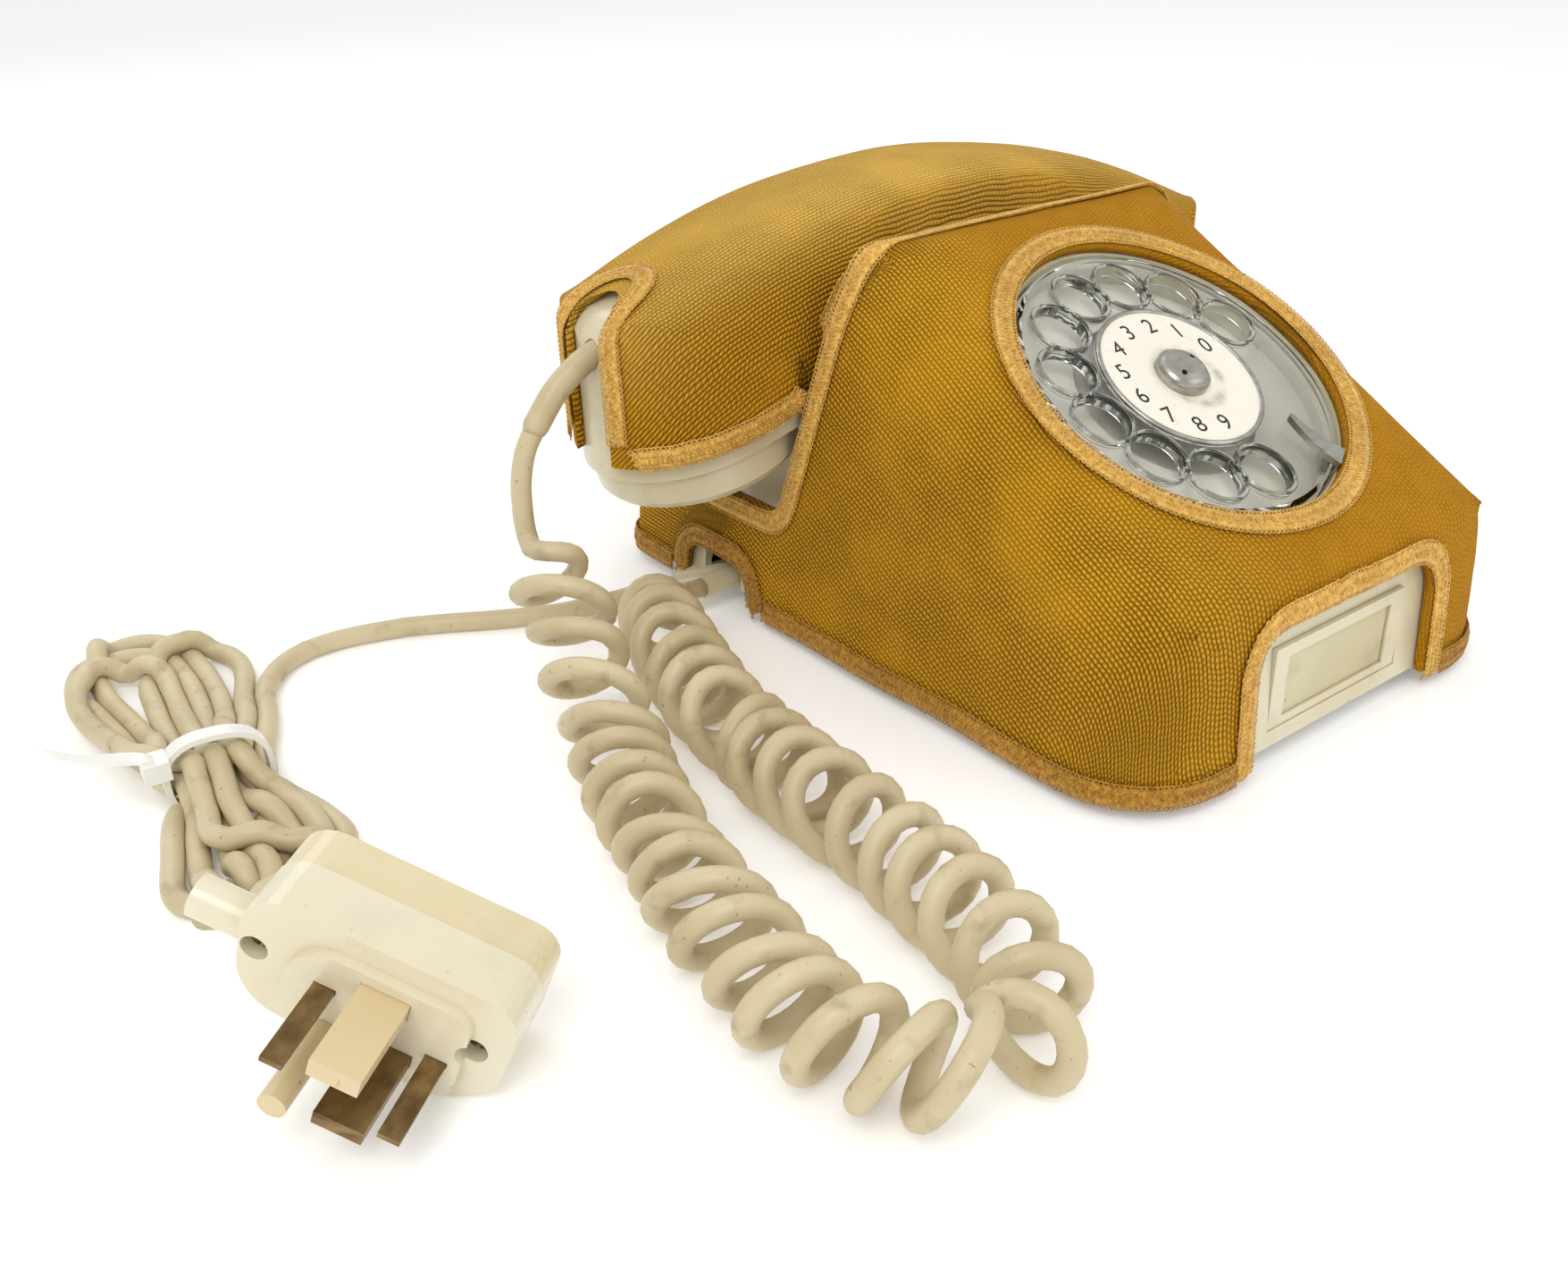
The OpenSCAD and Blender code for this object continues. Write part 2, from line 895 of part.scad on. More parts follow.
module capacitor() {
    color("lightgray")
        translate([4, -46, board_z + 1.65]) {
            cube([30, 14, 12]);
            for (x = [6, 24])
                translate([x, 7, 11.9])
                    cylinder(r = 1.5, h = 2.4);
        }
}

module terminal_block() {
    color("saddlebrown")
        translate([-54, 8, inner_floor_z + 0.05]) {
            difference() {
                cube([12, 34, 9]);
                for (k = [0 : 3])
                    translate([6, 5 + 8 * k, 5])
                        cylinder(r = 1.7, h = 5);
            }
            for (k = [0 : 3])
                translate([6, 5 + 8 * k, 5.2])
                    cylinder(r = 1.5, h = 4.6);
        }
}

// ---- hook switch ----

plunger_top = grip_under - 0.4;
plunger_low = tower_z - 15.6;
stem_r = plunger_r - 1;
lever_z = plunger_low - 11.4;
bracket_z = plunger_low - 1.9;
lever_y = grip_y + 14;

module hook_bracket() {
    cheek_low = lever_z - 6;
    cheek_high = tower_z - case_wall - 0.05;
    color("gray")
        difference() {
            union() {
                translate([-34, grip_y - 8, bracket_z])
                    cube([68, 16, 1.6]);
                for (x = [-34, 32.4])
                    translate([x, grip_y - 8, cheek_low])
                        cube([1.6, 27, cheek_high - cheek_low]);
            }
            for (x = [-plunger_x, plunger_x])
                translate([x, grip_y, 0])
                    cylinder(r = stem_r + 0.08, h = big);
            translate([0, lever_y, lever_z])
                rotate([0, 90, 0])
                    cylinder(r = 1.55, h = big, center = true);
        }
}

module hook_plungers() {
    color("ivory")
        for (x = [-plunger_x, plunger_x])
            translate([x, grip_y, 0]) {
                cylinder_from(stem_r, lever_z + 1.1, plunger_low + 1);
                cylinder_from(plunger_r, plunger_low, plunger_top - 1);
                translate([0, 0, plunger_top - 1])
                    rotate_extrude()
                        polygon([[0, -0.1], [plunger_r, -0.1], [plunger_r, 0.2],
                            [plunger_r - 0.8, 1], [0, 1]]);
                cylinder_from(plunger_r + 1.6, plunger_low, plunger_low + 1.8);
            }
}

module hook_lever() {
    color("silver") {
        translate([-33.9, lever_y, lever_z])
            rotate([0, 90, 0])
                cylinder(r = 1.5, h = 67.8);
        difference() {
            translate([-29, grip_y - 12, lever_z - 0.8])
                cube([58, 26, 1.6]);
            translate([-18, grip_y - 20, lever_z - 4])
                cube([36, 26, 8]);
        }
    }
}

module hook_contacts() {
    color("gold")
        for (k = [0 : 3])
            translate([-12 + 7 * k, tower_y0 + case_wall + 0.05, lever_z - 3.4]) {
                cube([3, 17, 0.4]);
                translate([0, 0, -4])
                    cube([3, 17, 0.4]);
                translate([-1, 0, -6])
                    cube([5, 6, 8]);
            }
}

// ---- handset ----

// Half width of the handset at a distance from its middle
function grip_half(x) = grip_w / 2
    + (head_r - grip_w / 2) * (1 - cos(180 * min(1, max(0, (abs(x) - 25) / (cap_x - 37))))) / 2;

// Puts what is drawn on the axis of a cap, from the cap's face upwards
module on_cap(side) {
    translate([side * (cap_x - cap_h * sin(cap_lean)), grip_y, cap_bottom_z])
        rotate([0, side * cap_lean, 0])
            children();
}

// The handset's outer form without its hollow underside, grown by g
module handset_form(g) {
    end_x = cap_x + head_r;
    tangent_angle = asin((end_x - head_round - 6) / grip_arc_r);
    tangent_top = grip_arc_r / cos(tangent_angle);
    intersection() {
        translate([0, grip_y, grip_top - grip_arc_r])
            rotate([90, 0, 0])
                rotate_extrude($fn = 180)
                    polygon(soft_outline([
                        [grip_arc_r - 90, -head_r],
                        [grip_arc_r, -head_r],
                        [grip_arc_r, head_r],
                        [grip_arc_r - 90, head_r]
                    ], [0, grip_round, grip_round, 0], g));
        // the rounded upper edge of each end, on a tangent to the arc
        translate([0, grip_y, grip_top - grip_arc_r])
            along(big)
                polygon(soft_outline([
                    [-end_x, -big / 2],
                    [end_x, -big / 2],
                    [end_x, tangent_top - end_x * tan(tangent_angle)],
                    [0, tangent_top],
                    [-end_x, tangent_top - end_x * tan(tangent_angle)]
                ], [0, 0, head_round, 0, head_round], g));
        translate([0, grip_y, 0])
            linear_extrude(big)
                union() {
                    for (s = [-1, 1])
                        translate([s * cap_x, 0])
                            circle(r = head_r + g);
                    polygon([
                        for (k = [-6 : 6]) [cap_x * k / 6, -grip_half(cap_x * k / 6) - g],
                        for (k = [6 : -1 : -6]) [cap_x * k / 6, grip_half(cap_x * k / 6) + g]
                    ]);
                }
    }
}

// What lies under the grip and between the caps, from low to the height given
module grip_gap(half, top) {
    translate([0, grip_y, 0])
        along(big)
            polygon(soft_outline([
                [-half, -big / 2],
                [half, -big / 2],
                [half, top],
                [-half, top]
            ], [0, 0, 14, 14], 0));
}

module below_caps(level) {
    for (s = [-1, 1])
        on_cap(s)
            translate([-s * 2 - 60, -60, level - 200])
                cube([120, 120, 200]);
}

module handset_shell() {
    color("ivory")
        difference() {
            handset_form(0);
            grip_gap(cap_x - head_r + 4, grip_under);
            below_caps(cap_h + 0.05);
            // the hollow heads that hold the capsules
            for (s = [-1, 1])
                on_cap(s)
                    translate([0, 0, cap_h - 1])
                        cylinder(r = cap_r - shell_wall - 1.5, h = 13);
            // passage for the cord
            translate([-cap_x - head_r, grip_y, sleeve_z])
                rotate([0, 90, 0])
                    cylinder(r = sleeve_r + 0.3, h = 24, center = true);
        }
}
sleeve_r = 3.4;
sleeve_z = 80;

// A screwed cap: a rim with a turned-in edge and a drilled face
module cap(side, rings) {
    color("ivory")
        on_cap(side)
            difference() {
                rotate_extrude()
                    polygon([[0, 0], [cap_r - 3, 0], [cap_r - 1.2, 0.8], [cap_r, 2.6], [cap_r, cap_h],
                        [cap_r - cap_wall, cap_h], [cap_r - cap_wall, cap_wall + 1],
                        [cap_r - 4, cap_wall], [0, cap_wall]]);
                for (ring_k = [1 : rings])
                    for (k = [0 : 6 * ring_k - 1])
                        rotate([0, 0, 60 * k / ring_k])
                            translate([4.5 * ring_k, 0, -1])
                                cylinder(r = 1, h = 8, $fn = 24);
            }
}

module ear_cap() cap(1, 2);
module mouth_cap() cap(-1, 3);

module receiver() {
    color("gray")
        on_cap(1)
            translate([0, 0, cap_wall + 1]) {
                cylinder(r = cap_r - 5.5, h = 9);
                translate([0, 0, 8.9])
                    cylinder(r = 12, h = 5);
            }
}

module microphone() {
    color("dimgray")
        on_cap(-1)
            translate([0, 0, cap_wall + 1]) {
                cylinder(r = cap_r - 5.5, h = 7);
                translate([0, 0, 6.9])
                    cylinder(r = 17, h = 6);
            }
}

slot_w = 17;
slot_top = 94;
hem_above_cap = 5;
grip_hem_z = grip_under + 6;
pressed_gap = 0.4; // between the two covers where the heads meet the cradle

// The slot in the cover's end for the cord, grown by g
module slot_cut(g) {
    translate([-cap_x - head_r, 0, 0])
        across(36)
            polygon(soft_outline([
                [grip_y - slot_w / 2, 0],
                [grip_y + slot_w / 2, 0],
                [grip_y + slot_w / 2, slot_top],
                [grip_y - slot_w / 2, slot_top]
            ], [0, 0, slot_w / 2 - 0.5, slot_w / 2 - 0.5], g));
}

// What the cover's open underside takes away, with the hem raised by lift
module under_cut(lift) {
    grip_gap(cap_x - head_r + 6 + lift * 0.5, grip_hem_z + lift);
    below_caps(cap_h + hem_above_cap + lift);
}

module handset_cover() {
    color("goldenrod")
        difference() {
            handset_form(cover_out);
            handset_form(cloth_gap);
            under_cut(0);
            slot_cut(0);
            case_form(braid_out + pressed_gap);
        }
}

module handset_braid() {
    color("khaki")
        difference() {
            handset_form(braid_out);
            handset_form(cover_out + 0.1);
            under_cut(0);
            slot_cut(0);
            case_form(braid_out + pressed_gap);
            difference() {
                translate([-big / 2, -big / 2, 0])
                    cube([big, big, big]);
                union() {
                    under_cut(braid_w * 0.9);
                    slot_cut(braid_w * 0.9);
                }
            }
        }
}

// ---- cords ----

// Routes as points that a cord passes through
sleeve_route = [[-101, 52, 81], [-107, 52, 78.5], [-115, 52, 73], [-121, 52, 66]];
lead_route = [[-121.2, 52, 65.8], [-125, 52, 60], [-127, 52, 53], [-127.5, 52, 47], [-127.5, 52, 42]];
curl_route = [[-127, 52, 38], [-127, 45, 32], [-129, 34, 27], [-133, 19, 21], [-138, 4, 16],
    [-144, -13, 12], [-151, -33, 12], [-158, -58, 12], [-163, -85, 12], [-165, -107, 12],
    [-160, -125, 12], [-149, -134, 12], [-136, -132, 12], [-128, -120, 12], [-124, -100, 12],
    [-121, -73, 12], [-120, -43, 12], [-116, -13, 12], [-110, 9, 12], [-103, 28, 12]];
base_lead_route = [[-102.8, 28.7, 11.4], [-98, 40, 10], [-91, 47, 9], [-84, 50, 8.4], [-76.3, 50.6, 8]];
line_route = [[-78.4, 62.8, 5.2], [-86, 66.5, 3.8], [-96, 69.5, 2.9], [-110, 73, 2.8],
    [-124, 80, 2.8], [-137, 88, 2.8], [-150, 95, 2.8], [-168, 103, 2.8], [-184, 109, 2.8]];
plug_route = [[-221, -14.5, 8], [-226, -20, 12], [-233, -26, 19], [-241, -34, 28]];

function route_dir(p, i) = unit(p[min(i + 1, len(p) - 1)] - p[max(i - 1, 0)]);

// A tube through the points of a route, one ring of vertices at each point.
// The route never runs along the direction called level.
module tube(route, r, sides = 8, level = [0, 0, 1]) {
    rings = [
        for (i = [0 : len(route) - 1])
            let (d = route_dir(route, i), u = unit(cross(d, level)), v = cross(d, u))
            [for (k = [0 : sides - 1]) route[i] + r * (u * cos(360 * k / sides) + v * sin(360 * k / sides))]
    ];
    points = [for (one = rings) each one];
    walls = [
        for (i = [0 : len(route) - 2], k = [0 : sides - 1])
            let (a = i * sides + k, b = i * sides + (k + 1) % sides)
            each [[a, a + sides, b], [b, a + sides, b + sides]]
    ];
    first_cap = [for (k = [0 : sides - 1]) k];
    last_cap = [for (k = [sides - 1 : -1 : 0]) (len(route) - 1) * sides + k];
    polyhedron(points, concat(walls, [first_cap, last_cap]));
}

module handset_sleeve() {
    color("tan")
        tube(sleeve_route, sleeve_r - 0.2, 12, [0, 1, 0]);
}

module handset_lead() {
    color("tan")
        tube(lead_route, cord_d / 2, 8, [0, 1, 0]);
}

module curly_cord() {
    color("tan")
        tube(curl_route, curl_d / 2, 12);
}

module base_lead() {
    color("tan")
        tube(base_lead_route, cord_d / 2);
}

// Tapered strain relief for the line cord, with a bush beside it for the curly cord
module cord_grommet() {
    color("ivory") {
        translate([-case_w / 2 + 4, gland_y, 6.5])
            rotate([0, 94, gland_angle])
                rotate_extrude()
                    polygon([[0, 0], [4, 0], [4, 3], [3.6, 10], [3.1, 17.8], [0, 17.8]]);
        translate([-case_w / 2 - 9.5, gland_y - 3.4, 8])
            rotate([0, 90, 0])
                cylinder(r = 3.3, h = 12);
    }
}

module plug_cord() {
    color("tan")
        tube(plug_route, cord_d / 2);
}

module line_cord() {
    color("tan")
        tube(line_route, cord_d / 2);
}

bundle_mid = [-213, 60];
bundle_l = 148;
bundle_w = 46;
bundle_h = 16;
bundle_turn = 84;

// The tied bundle as one plain hank
module cord_bundle() {
    color("tan")
        difference() {
            translate([bundle_mid[0], bundle_mid[1], 0.3])
                rotate([0, 0, bundle_turn])
                    linear_extrude(bundle_h)
                        polygon(soft_outline([
                            [-bundle_l / 2, -bundle_w / 2],
                            [bundle_l / 2, -bundle_w / 2],
                            [bundle_l / 2, bundle_w / 2],
                            [-bundle_l / 2, bundle_w / 2]
                        ], [bundle_w / 2 - 1, bundle_w / 2 - 1, bundle_w / 2 - 1, bundle_w / 2 - 1], 0));
            tie_band(0.2);
        }
}

// The cable tie's band round the middle of the bundle
module tie_band(g) {
    translate([bundle_mid[0], bundle_mid[1], 0])
        rotate([0, 0, bundle_turn])
            translate([-18, 0, bundle_h / 2 + 0.3])
                rotate([0, 90, 0])
                    difference() {
                        linear_extrude(2.4 + 2 * g, center = true)
                            square([bundle_h + 4, bundle_w + 4], center = true);
                        linear_extrude(10, center = true)
                            square([bundle_h - 2 - 2 * g, bundle_w - 2 - 2 * g], center = true);
                    }
}

module cable_tie() {
    color("white")
        difference() {
            tie_band(0);
            translate([-big, -big / 2, -big + 0.2])
                cube([2 * big, big, big]);
        }
}

// ---- wall plug ----

// Puts the plug where it lies: its pins point along the local +Z
module on_plug() {
    translate([-226, -63, 19.8])
        rotate([-98.5, 67.3, 119.3])
            children();
}

function plug_outline(g) = soft_outline([
    [-plug_h / 2, -plug_l / 2 + 2],
    [plug_h / 2, -plug_l / 2 + 4],
    [plug_h / 2, plug_l / 2 - 7],
    [plug_h / 2 - 7, plug_l / 2],
    [-plug_h / 2, plug_l / 2]
], [8, 10, 4, 4, 6], g);

pin_len = 17;
boss_t = 2;
plug_sleeve_r = 4;

module plug_base() {
    color("white")
        on_plug()
            difference() {
                union() {
                    translate([0, 0, -plug_base_t])
                        linear_extrude(plug_base_t)
                            polygon(plug_outline(0));
                    translate([0, 2, -0.1])
                        linear_extrude(boss_t + 0.1)
                            polygon(soft_outline([[-9, -16], [12.5, -16], [12.5, 17.5], [-9, 17.5]],
                                [9, 9, 4, 4], 0));
                    // sleeve round the cord
                    translate([0, -plug_l / 2 + 4, -plug_base_t / 2])
                        rotate([90, 0, 0])
                            cylinder(r = plug_sleeve_r, h = 12);
                }
                for (y = [-plug_screw_y, plug_screw_y])
                    translate([plug_screw_x, y, -6])
                        cylinder(r = 2.6, h = 20);
                for (p = blade_places)
                    plug_post(p, [1.4, 4.2], -4, 20);
                plug_post(key_place, key_size + [0.2, 0.2], -4, 20);
                plug_post(wide_place, wide_size + [0.2, 0.2], -4, 20);
                translate([guide_place[0], guide_place[1], -4])
                    cylinder(r = guide_r + 0.1, h = 20);
            }
}
plug_screw_y = 20.5;
plug_screw_x = -0.5;
blade_places = [[-1.3, -6.4], [3.7, 15.3]];
key_place = [-4.7, 4];
key_size = [4, 9];
wide_place = [6.8, 6.8];
wide_size = [3, 9];
guide_place = [9, -4.6];
guide_r = 2.6;

// A rectangle about a place on the plug's face
module plug_post(place, size, low, high) {
    translate([place[0] - size[0] / 2, place[1] - size[1] / 2, low])
        cube([size[0], size[1], high - low]);
}

module plug_cover() {
    color("ivory")
        on_plug()
            translate([0, 0, -plug_base_t - plug_cover_t - 0.05])
                linear_extrude(plug_cover_t)
                    polygon(plug_outline(-0.2));
}

module plug_screws() {
    color("darkgoldenrod")
        on_plug()
            for (y = [-plug_screw_y, plug_screw_y])
                translate([plug_screw_x, y, -5.9])
                    difference() {
                        cylinder(r = 2.5, h = 3);
                        translate([-3, -0.4, 2.2])
                            cube([6, 0.8, 2]);
                    }
}

// The moulded key and the ribbed guide pin
module plug_key() {
    color("wheat")
        on_plug() {
            plug_post(key_place, key_size, -3.9, pin_len + boss_t);
            translate([guide_place[0], guide_place[1], -3.9])
                cylinder(r = guide_r, h = pin_len + boss_t + 3.9);
        }
}

module plug_blades() {
    color("silver")
        on_plug() {
            for (p = blade_places)
                plug_post(p, [1.2, 4], -3.9, pin_len + boss_t);
            plug_post(wide_place, wide_size, -3.9, pin_len + boss_t);
        }
}

base_plate();
rubber_feet();
base_screws();
case_shell();
card_frame();
number_card();
body_cover();
hem_braid();
front_braid();
arch_braid();
cradle_braid();
dial_braid();
dial_cup();
dial_ring();
finger_stop();
finger_wheel();
number_disc();
hub_nut();
dial_shaft();
main_gear();
return_spring();
transfer_gear();
governor_rotor();
governor_cup();
pulse_contacts();
gong_left();
gong_right();
gong_screws();
ringer_frame();
ringer_coils();
clapper();
circuit_board();
induction_coil();
capacitor();
terminal_block();
hook_bracket();
hook_plungers();
hook_lever();
hook_contacts();
handset_shell();
ear_cap();
mouth_cap();
receiver();
microphone();
handset_cover();
handset_braid();
handset_sleeve();
handset_lead();
curly_cord();
base_lead();
cord_grommet();
line_cord();
cord_bundle();
cable_tie();
plug_cord();
plug_base();
plug_cover();
plug_screws();
plug_key();
plug_blades();
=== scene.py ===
import json
import math

import bmesh
import bpy
import numpy as np
from mathutils import Matrix, Vector, noise
from mathutils.bvhtree import BVHTree


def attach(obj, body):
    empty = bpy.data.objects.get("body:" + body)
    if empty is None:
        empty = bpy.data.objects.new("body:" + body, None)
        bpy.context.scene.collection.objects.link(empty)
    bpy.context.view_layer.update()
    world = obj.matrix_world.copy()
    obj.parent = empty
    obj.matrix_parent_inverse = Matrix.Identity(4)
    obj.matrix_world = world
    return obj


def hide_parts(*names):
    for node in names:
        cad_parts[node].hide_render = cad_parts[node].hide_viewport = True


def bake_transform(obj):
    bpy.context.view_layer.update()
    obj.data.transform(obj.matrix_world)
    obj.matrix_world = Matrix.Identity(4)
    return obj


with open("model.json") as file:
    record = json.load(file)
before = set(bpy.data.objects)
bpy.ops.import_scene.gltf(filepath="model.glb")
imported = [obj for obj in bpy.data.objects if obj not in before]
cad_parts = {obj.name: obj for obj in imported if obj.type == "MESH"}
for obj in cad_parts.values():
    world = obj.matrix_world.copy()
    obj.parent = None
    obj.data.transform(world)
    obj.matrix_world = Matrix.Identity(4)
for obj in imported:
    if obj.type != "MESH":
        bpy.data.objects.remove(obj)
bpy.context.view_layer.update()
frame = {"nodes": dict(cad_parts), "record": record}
nodes = frame["nodes"]
mm = 0.001


# A socket that takes part in sums, and makes the nodes that follow it
class Wire:
    def __init__(self, tree, socket=None):
        self.tree = tree
        self.socket = socket

    def node(self, kind, settings=None, values=None, out=0):
        made = self.tree.nodes.new(kind)
        for name, value in (settings or {}).items():
            if name == "stops":
                for i, (place, colour) in enumerate(value):
                    old = made.color_ramp.elements
                    stop = old[i] if i < len(old) else old.new(place)
                    stop.position = place
                    stop.color = (*colour, 1)
            else:
                setattr(made, name, value)
        for name, value in (values or {}).items():
            if isinstance(value, Wire):
                self.tree.links.new(value.socket, made.inputs[name])
            else:
                made.inputs[name].default_value = value
        return Wire(self.tree, made.outputs[out] if made.outputs else None)

    def sum(self, operation, first, second=0.0):
        return self.node("ShaderNodeMath", {"operation": operation}, {0: first, 1: second})

    def __add__(self, other):
        return self.sum("ADD", self, other)

    def __radd__(self, other):
        return self.sum("ADD", other, self)

    def __sub__(self, other):
        return self.sum("SUBTRACT", self, other)

    def __rsub__(self, other):
        return self.sum("SUBTRACT", other, self)

    def __mul__(self, other):
        return self.sum("MULTIPLY", self, other)

    def __rmul__(self, other):
        return self.sum("MULTIPLY", other, self)

    def __pow__(self, other):
        return self.sum("POWER", self, other)

    def wave(self):
        return self.sum("ABSOLUTE", self.sum("SINE", self))

    def ramp(self, low, high):
        return self.node("ShaderNodeMapRange", {}, {0: self, 1: low, 2: high})

    def blendTo(self, first, second):
        return self.node("ShaderNodeMix", {"data_type": "RGBA"}, {0: self, 6: first, 7: second}, 2)

    def grain(self, scale, detail=2.0, where=None):
        values = {"Scale": scale, "Detail": detail}
        values["Vector"] = where or self.node("ShaderNodeTexCoord", out=3)
        return self.node("ShaderNodeTexNoise", {}, values)


# A colour as a paint chart gives it, 0 to 255, made linear
def rgb(r, g, b):
    return tuple((v / 255 / 12.92) if v < 11 else ((v / 255 + 0.055) / 1.055) ** 2.4 for v in (r, g, b))


def tint(r, g, b):
    return (*rgb(r, g, b), 1)


materials = {}


# A recipe gives the shader's own sockets, and "height" with "depth" where the surface has relief
def finish(name, recipe):
    made = bpy.data.materials.new(name)
    made.use_nodes = True
    made.node_tree.nodes.clear()
    start = Wire(made.node_tree)
    values = recipe(start)
    height = values.pop("height", None)
    if height:
        values["Normal"] = start.node("ShaderNodeBump", {}, {
            "Strength": 1.0, "Distance": values.pop("depth"), "Height": height})
    shader = start.node("ShaderNodeBsdfPrincipled", {}, values)
    start.node("ShaderNodeOutputMaterial", {}, {"Surface": shader})
    materials[name] = made
    return made


# finishes

# The light colour is a painted highlight, the colour the nub crests take where they catch the light
velvet = {"rib": 1.42 * mm, "row": 1.36 * mm, "light": (232, 178, 52), "main": (198, 143, 18),
          # The two groove colours are painted shade between the ribs; the pile colours hold painted shade on the
          # right front of the top
          "grooveShade": (116, 72, 3), "shadedPile": (166, 112, 6), "shadedPileGroove": (132, 84, 3), "sheen": 0.08,
          # The colour for the tops is painted light, lighter where the light falls from above
          "brushed": (194, 140, 30), "shade": (140, 92, 8), "wornAndLitTop": (238, 198, 104)}


# Ribs run along the cloth's own "cloth" attribute; the pile is whole where the ribs have been brushed out
def velvetRecipe(w):
    cloth = w.node("ShaderNodeAttribute", {"attribute_name": "cloth"}, out=1)
    wander = w.grain(120, 1.5, cloth)
    across = w.node("ShaderNodeSeparateXYZ", {}, {0: cloth}, 0) + (wander - 0.5) * 0.0016
    along = w.node("ShaderNodeSeparateXYZ", {}, {0: cloth}, 1) + (wander - 0.5) * 0.0012
    place = w.node("ShaderNodeTexCoord", out=3)
    ribNumber = w.sum("FLOOR", across * (1 / velvet["rib"]))
    rib = (across * (math.pi / velvet["rib"])).wave() ** 0.6
    row = (along * (math.pi / velvet["row"]) + w.sum("SINE", ribNumber * 2.4) * 0.9).wave() ** 0.75
    fuzz = w.grain(1700, 2.0)
    rubbed = w.grain(30, 3.0).ramp(0.45, 0.66)
    fromTop = w.node("ShaderNodeSeparateXYZ", {}, {0: cloth}, 2)
    right = w.node("ShaderNodeSeparateXYZ", {}, {0: place}, 0) + (w.grain(22, 3.0) - 0.5) * 0.06
    front = w.node("ShaderNodeSeparateXYZ", {}, {0: place}, 1)
    # Right front of the top: the ribs are softer there (deep pile), and the colour is darker as painted shade on
    # the side away from the key light
    shadedPile = right.ramp(-0.044, -0.012) * (1 - front.ramp(0.020, 0.030)) * (1 - fromTop.ramp(0.020, 0.034) * 0.75)
    nub = rib * (0.40 + 0.60 * row)
    soft = nub * (1 - 0.40 * rubbed) + 0.34 * rubbed
    soft = soft * (1 - 0.72 * shadedPile) + 0.42 * shadedPile
    cloud = w.grain(11, 2.5).ramp(0.3, 0.72)
    brushed = w.grain(150, 4.0).ramp(0.35, 0.7)
    high = shadedPile.blendTo(tint(*velvet["main"]), tint(*velvet["shadedPile"]))
    # Painted shade: the grooves between the ribs take the darker groove colours, as the shade that falls in them
    low = shadedPile.blendTo(tint(*velvet["grooveShade"]), tint(*velvet["shadedPileGroove"]))
    colour = soft.ramp(0.10, 0.66).blendTo(low, high)
    # Painted highlight: the nub crests are blended towards the light colour
    shine = nub.ramp(0.62, 1.0) * (0.45 + 0.4 * cloud) * (1 - 0.7 * shadedPile)
    colour = shine.blendTo(colour, tint(*velvet["light"]))
    colour = (brushed * 0.30 * shadedPile).blendTo(colour, tint(*velvet["brushed"]))
    colour = ((1 - cloud) * 0.20).blendTo(colour, tint(*velvet["shade"]))
    # Painted light: towards the top the cloth is lighter, as the light from above falls on it
    paintedLitTop = w.node("ShaderNodeSeparateXYZ", {}, {0: place}, 2).ramp(0.066, 0.112) * front.ramp(0.022, 0.032)
    colour = (paintedLitTop * 0.55).blendTo(colour, tint(*velvet["wornAndLitTop"]))
    return {"Base Color": colour, "Roughness": 0.9, "Sheen Weight": velvet["sheen"], "Sheen Roughness": 0.4,
            "Sheen Tint": tint(250, 206, 90), "Specular IOR Level": 0.15,
            "height": soft + 0.20 * fuzz + 0.10 * brushed, "depth": 0.0010}


def braidRecipe(light, dark):
    def recipe(w):
        twist = w.grain(900, 2.0)
        wornAndLitTop = w.grain(60, 3.0).ramp(0.35, 0.7)
        colour = twist.ramp(0.3, 0.7).blendTo(tint(*dark), tint(*light))
        colour = (wornAndLitTop * 0.35).blendTo(colour, tint(*[v * 0.8 for v in dark]))
        return {"Base Color": colour, "Roughness": 0.62, "Sheen Weight": 0.2, "Sheen Roughness": 0.4,
                "Specular IOR Level": 0.35, "height": w.grain(1600, 2.0), "depth": 0.0003}
    return recipe


def plasticRecipe(main, aged, rough, dirt=0.35, coat=0.25):
    def recipe(w):
        cloud = w.grain(18, 3.0).ramp(0.35, 0.7)
        specks = w.grain(420, 2.0).ramp(0.70, 0.76)
        smear = w.grain(55, 4.0).ramp(0.56, 0.78)
        colour = cloud.blendTo(tint(*main), tint(*aged))
        colour = (smear * dirt).blendTo(colour, tint(*[v * 0.74 for v in aged]))
        colour = (specks * dirt).blendTo(colour, tint(96, 80, 56))
        return {"Base Color": colour, "Roughness": smear * 0.2 + rough, "Coat Weight": coat,
                "Coat Roughness": 0.12, "height": w.grain(900, 2.0), "depth": 0.00003}
    return recipe


def cordRecipe(w):
    cloud = w.grain(34, 3.0).ramp(0.35, 0.7)
    grime = w.grain(150, 4.0).ramp(0.58, 0.80)
    specks = w.grain(700, 2.0).ramp(0.70, 0.76)
    green = w.grain(12, 1.0).ramp(0.62, 0.8)
    colour = cloud.blendTo(tint(206, 192, 156), tint(186, 169, 130))
    colour = (green * 0.12).blendTo(colour, tint(150, 158, 104))
    colour = (grime * 0.55).blendTo(colour, tint(128, 108, 72))
    colour = (specks * 0.5).blendTo(colour, tint(84, 64, 40))
    return {"Base Color": colour, "Roughness": grime * 0.25 + 0.42, "Subsurface Weight": 0.06,
            "Subsurface Radius": (0.002, 0.0015, 0.001), "height": w.grain(500, 3.0), "depth": 0.00008}


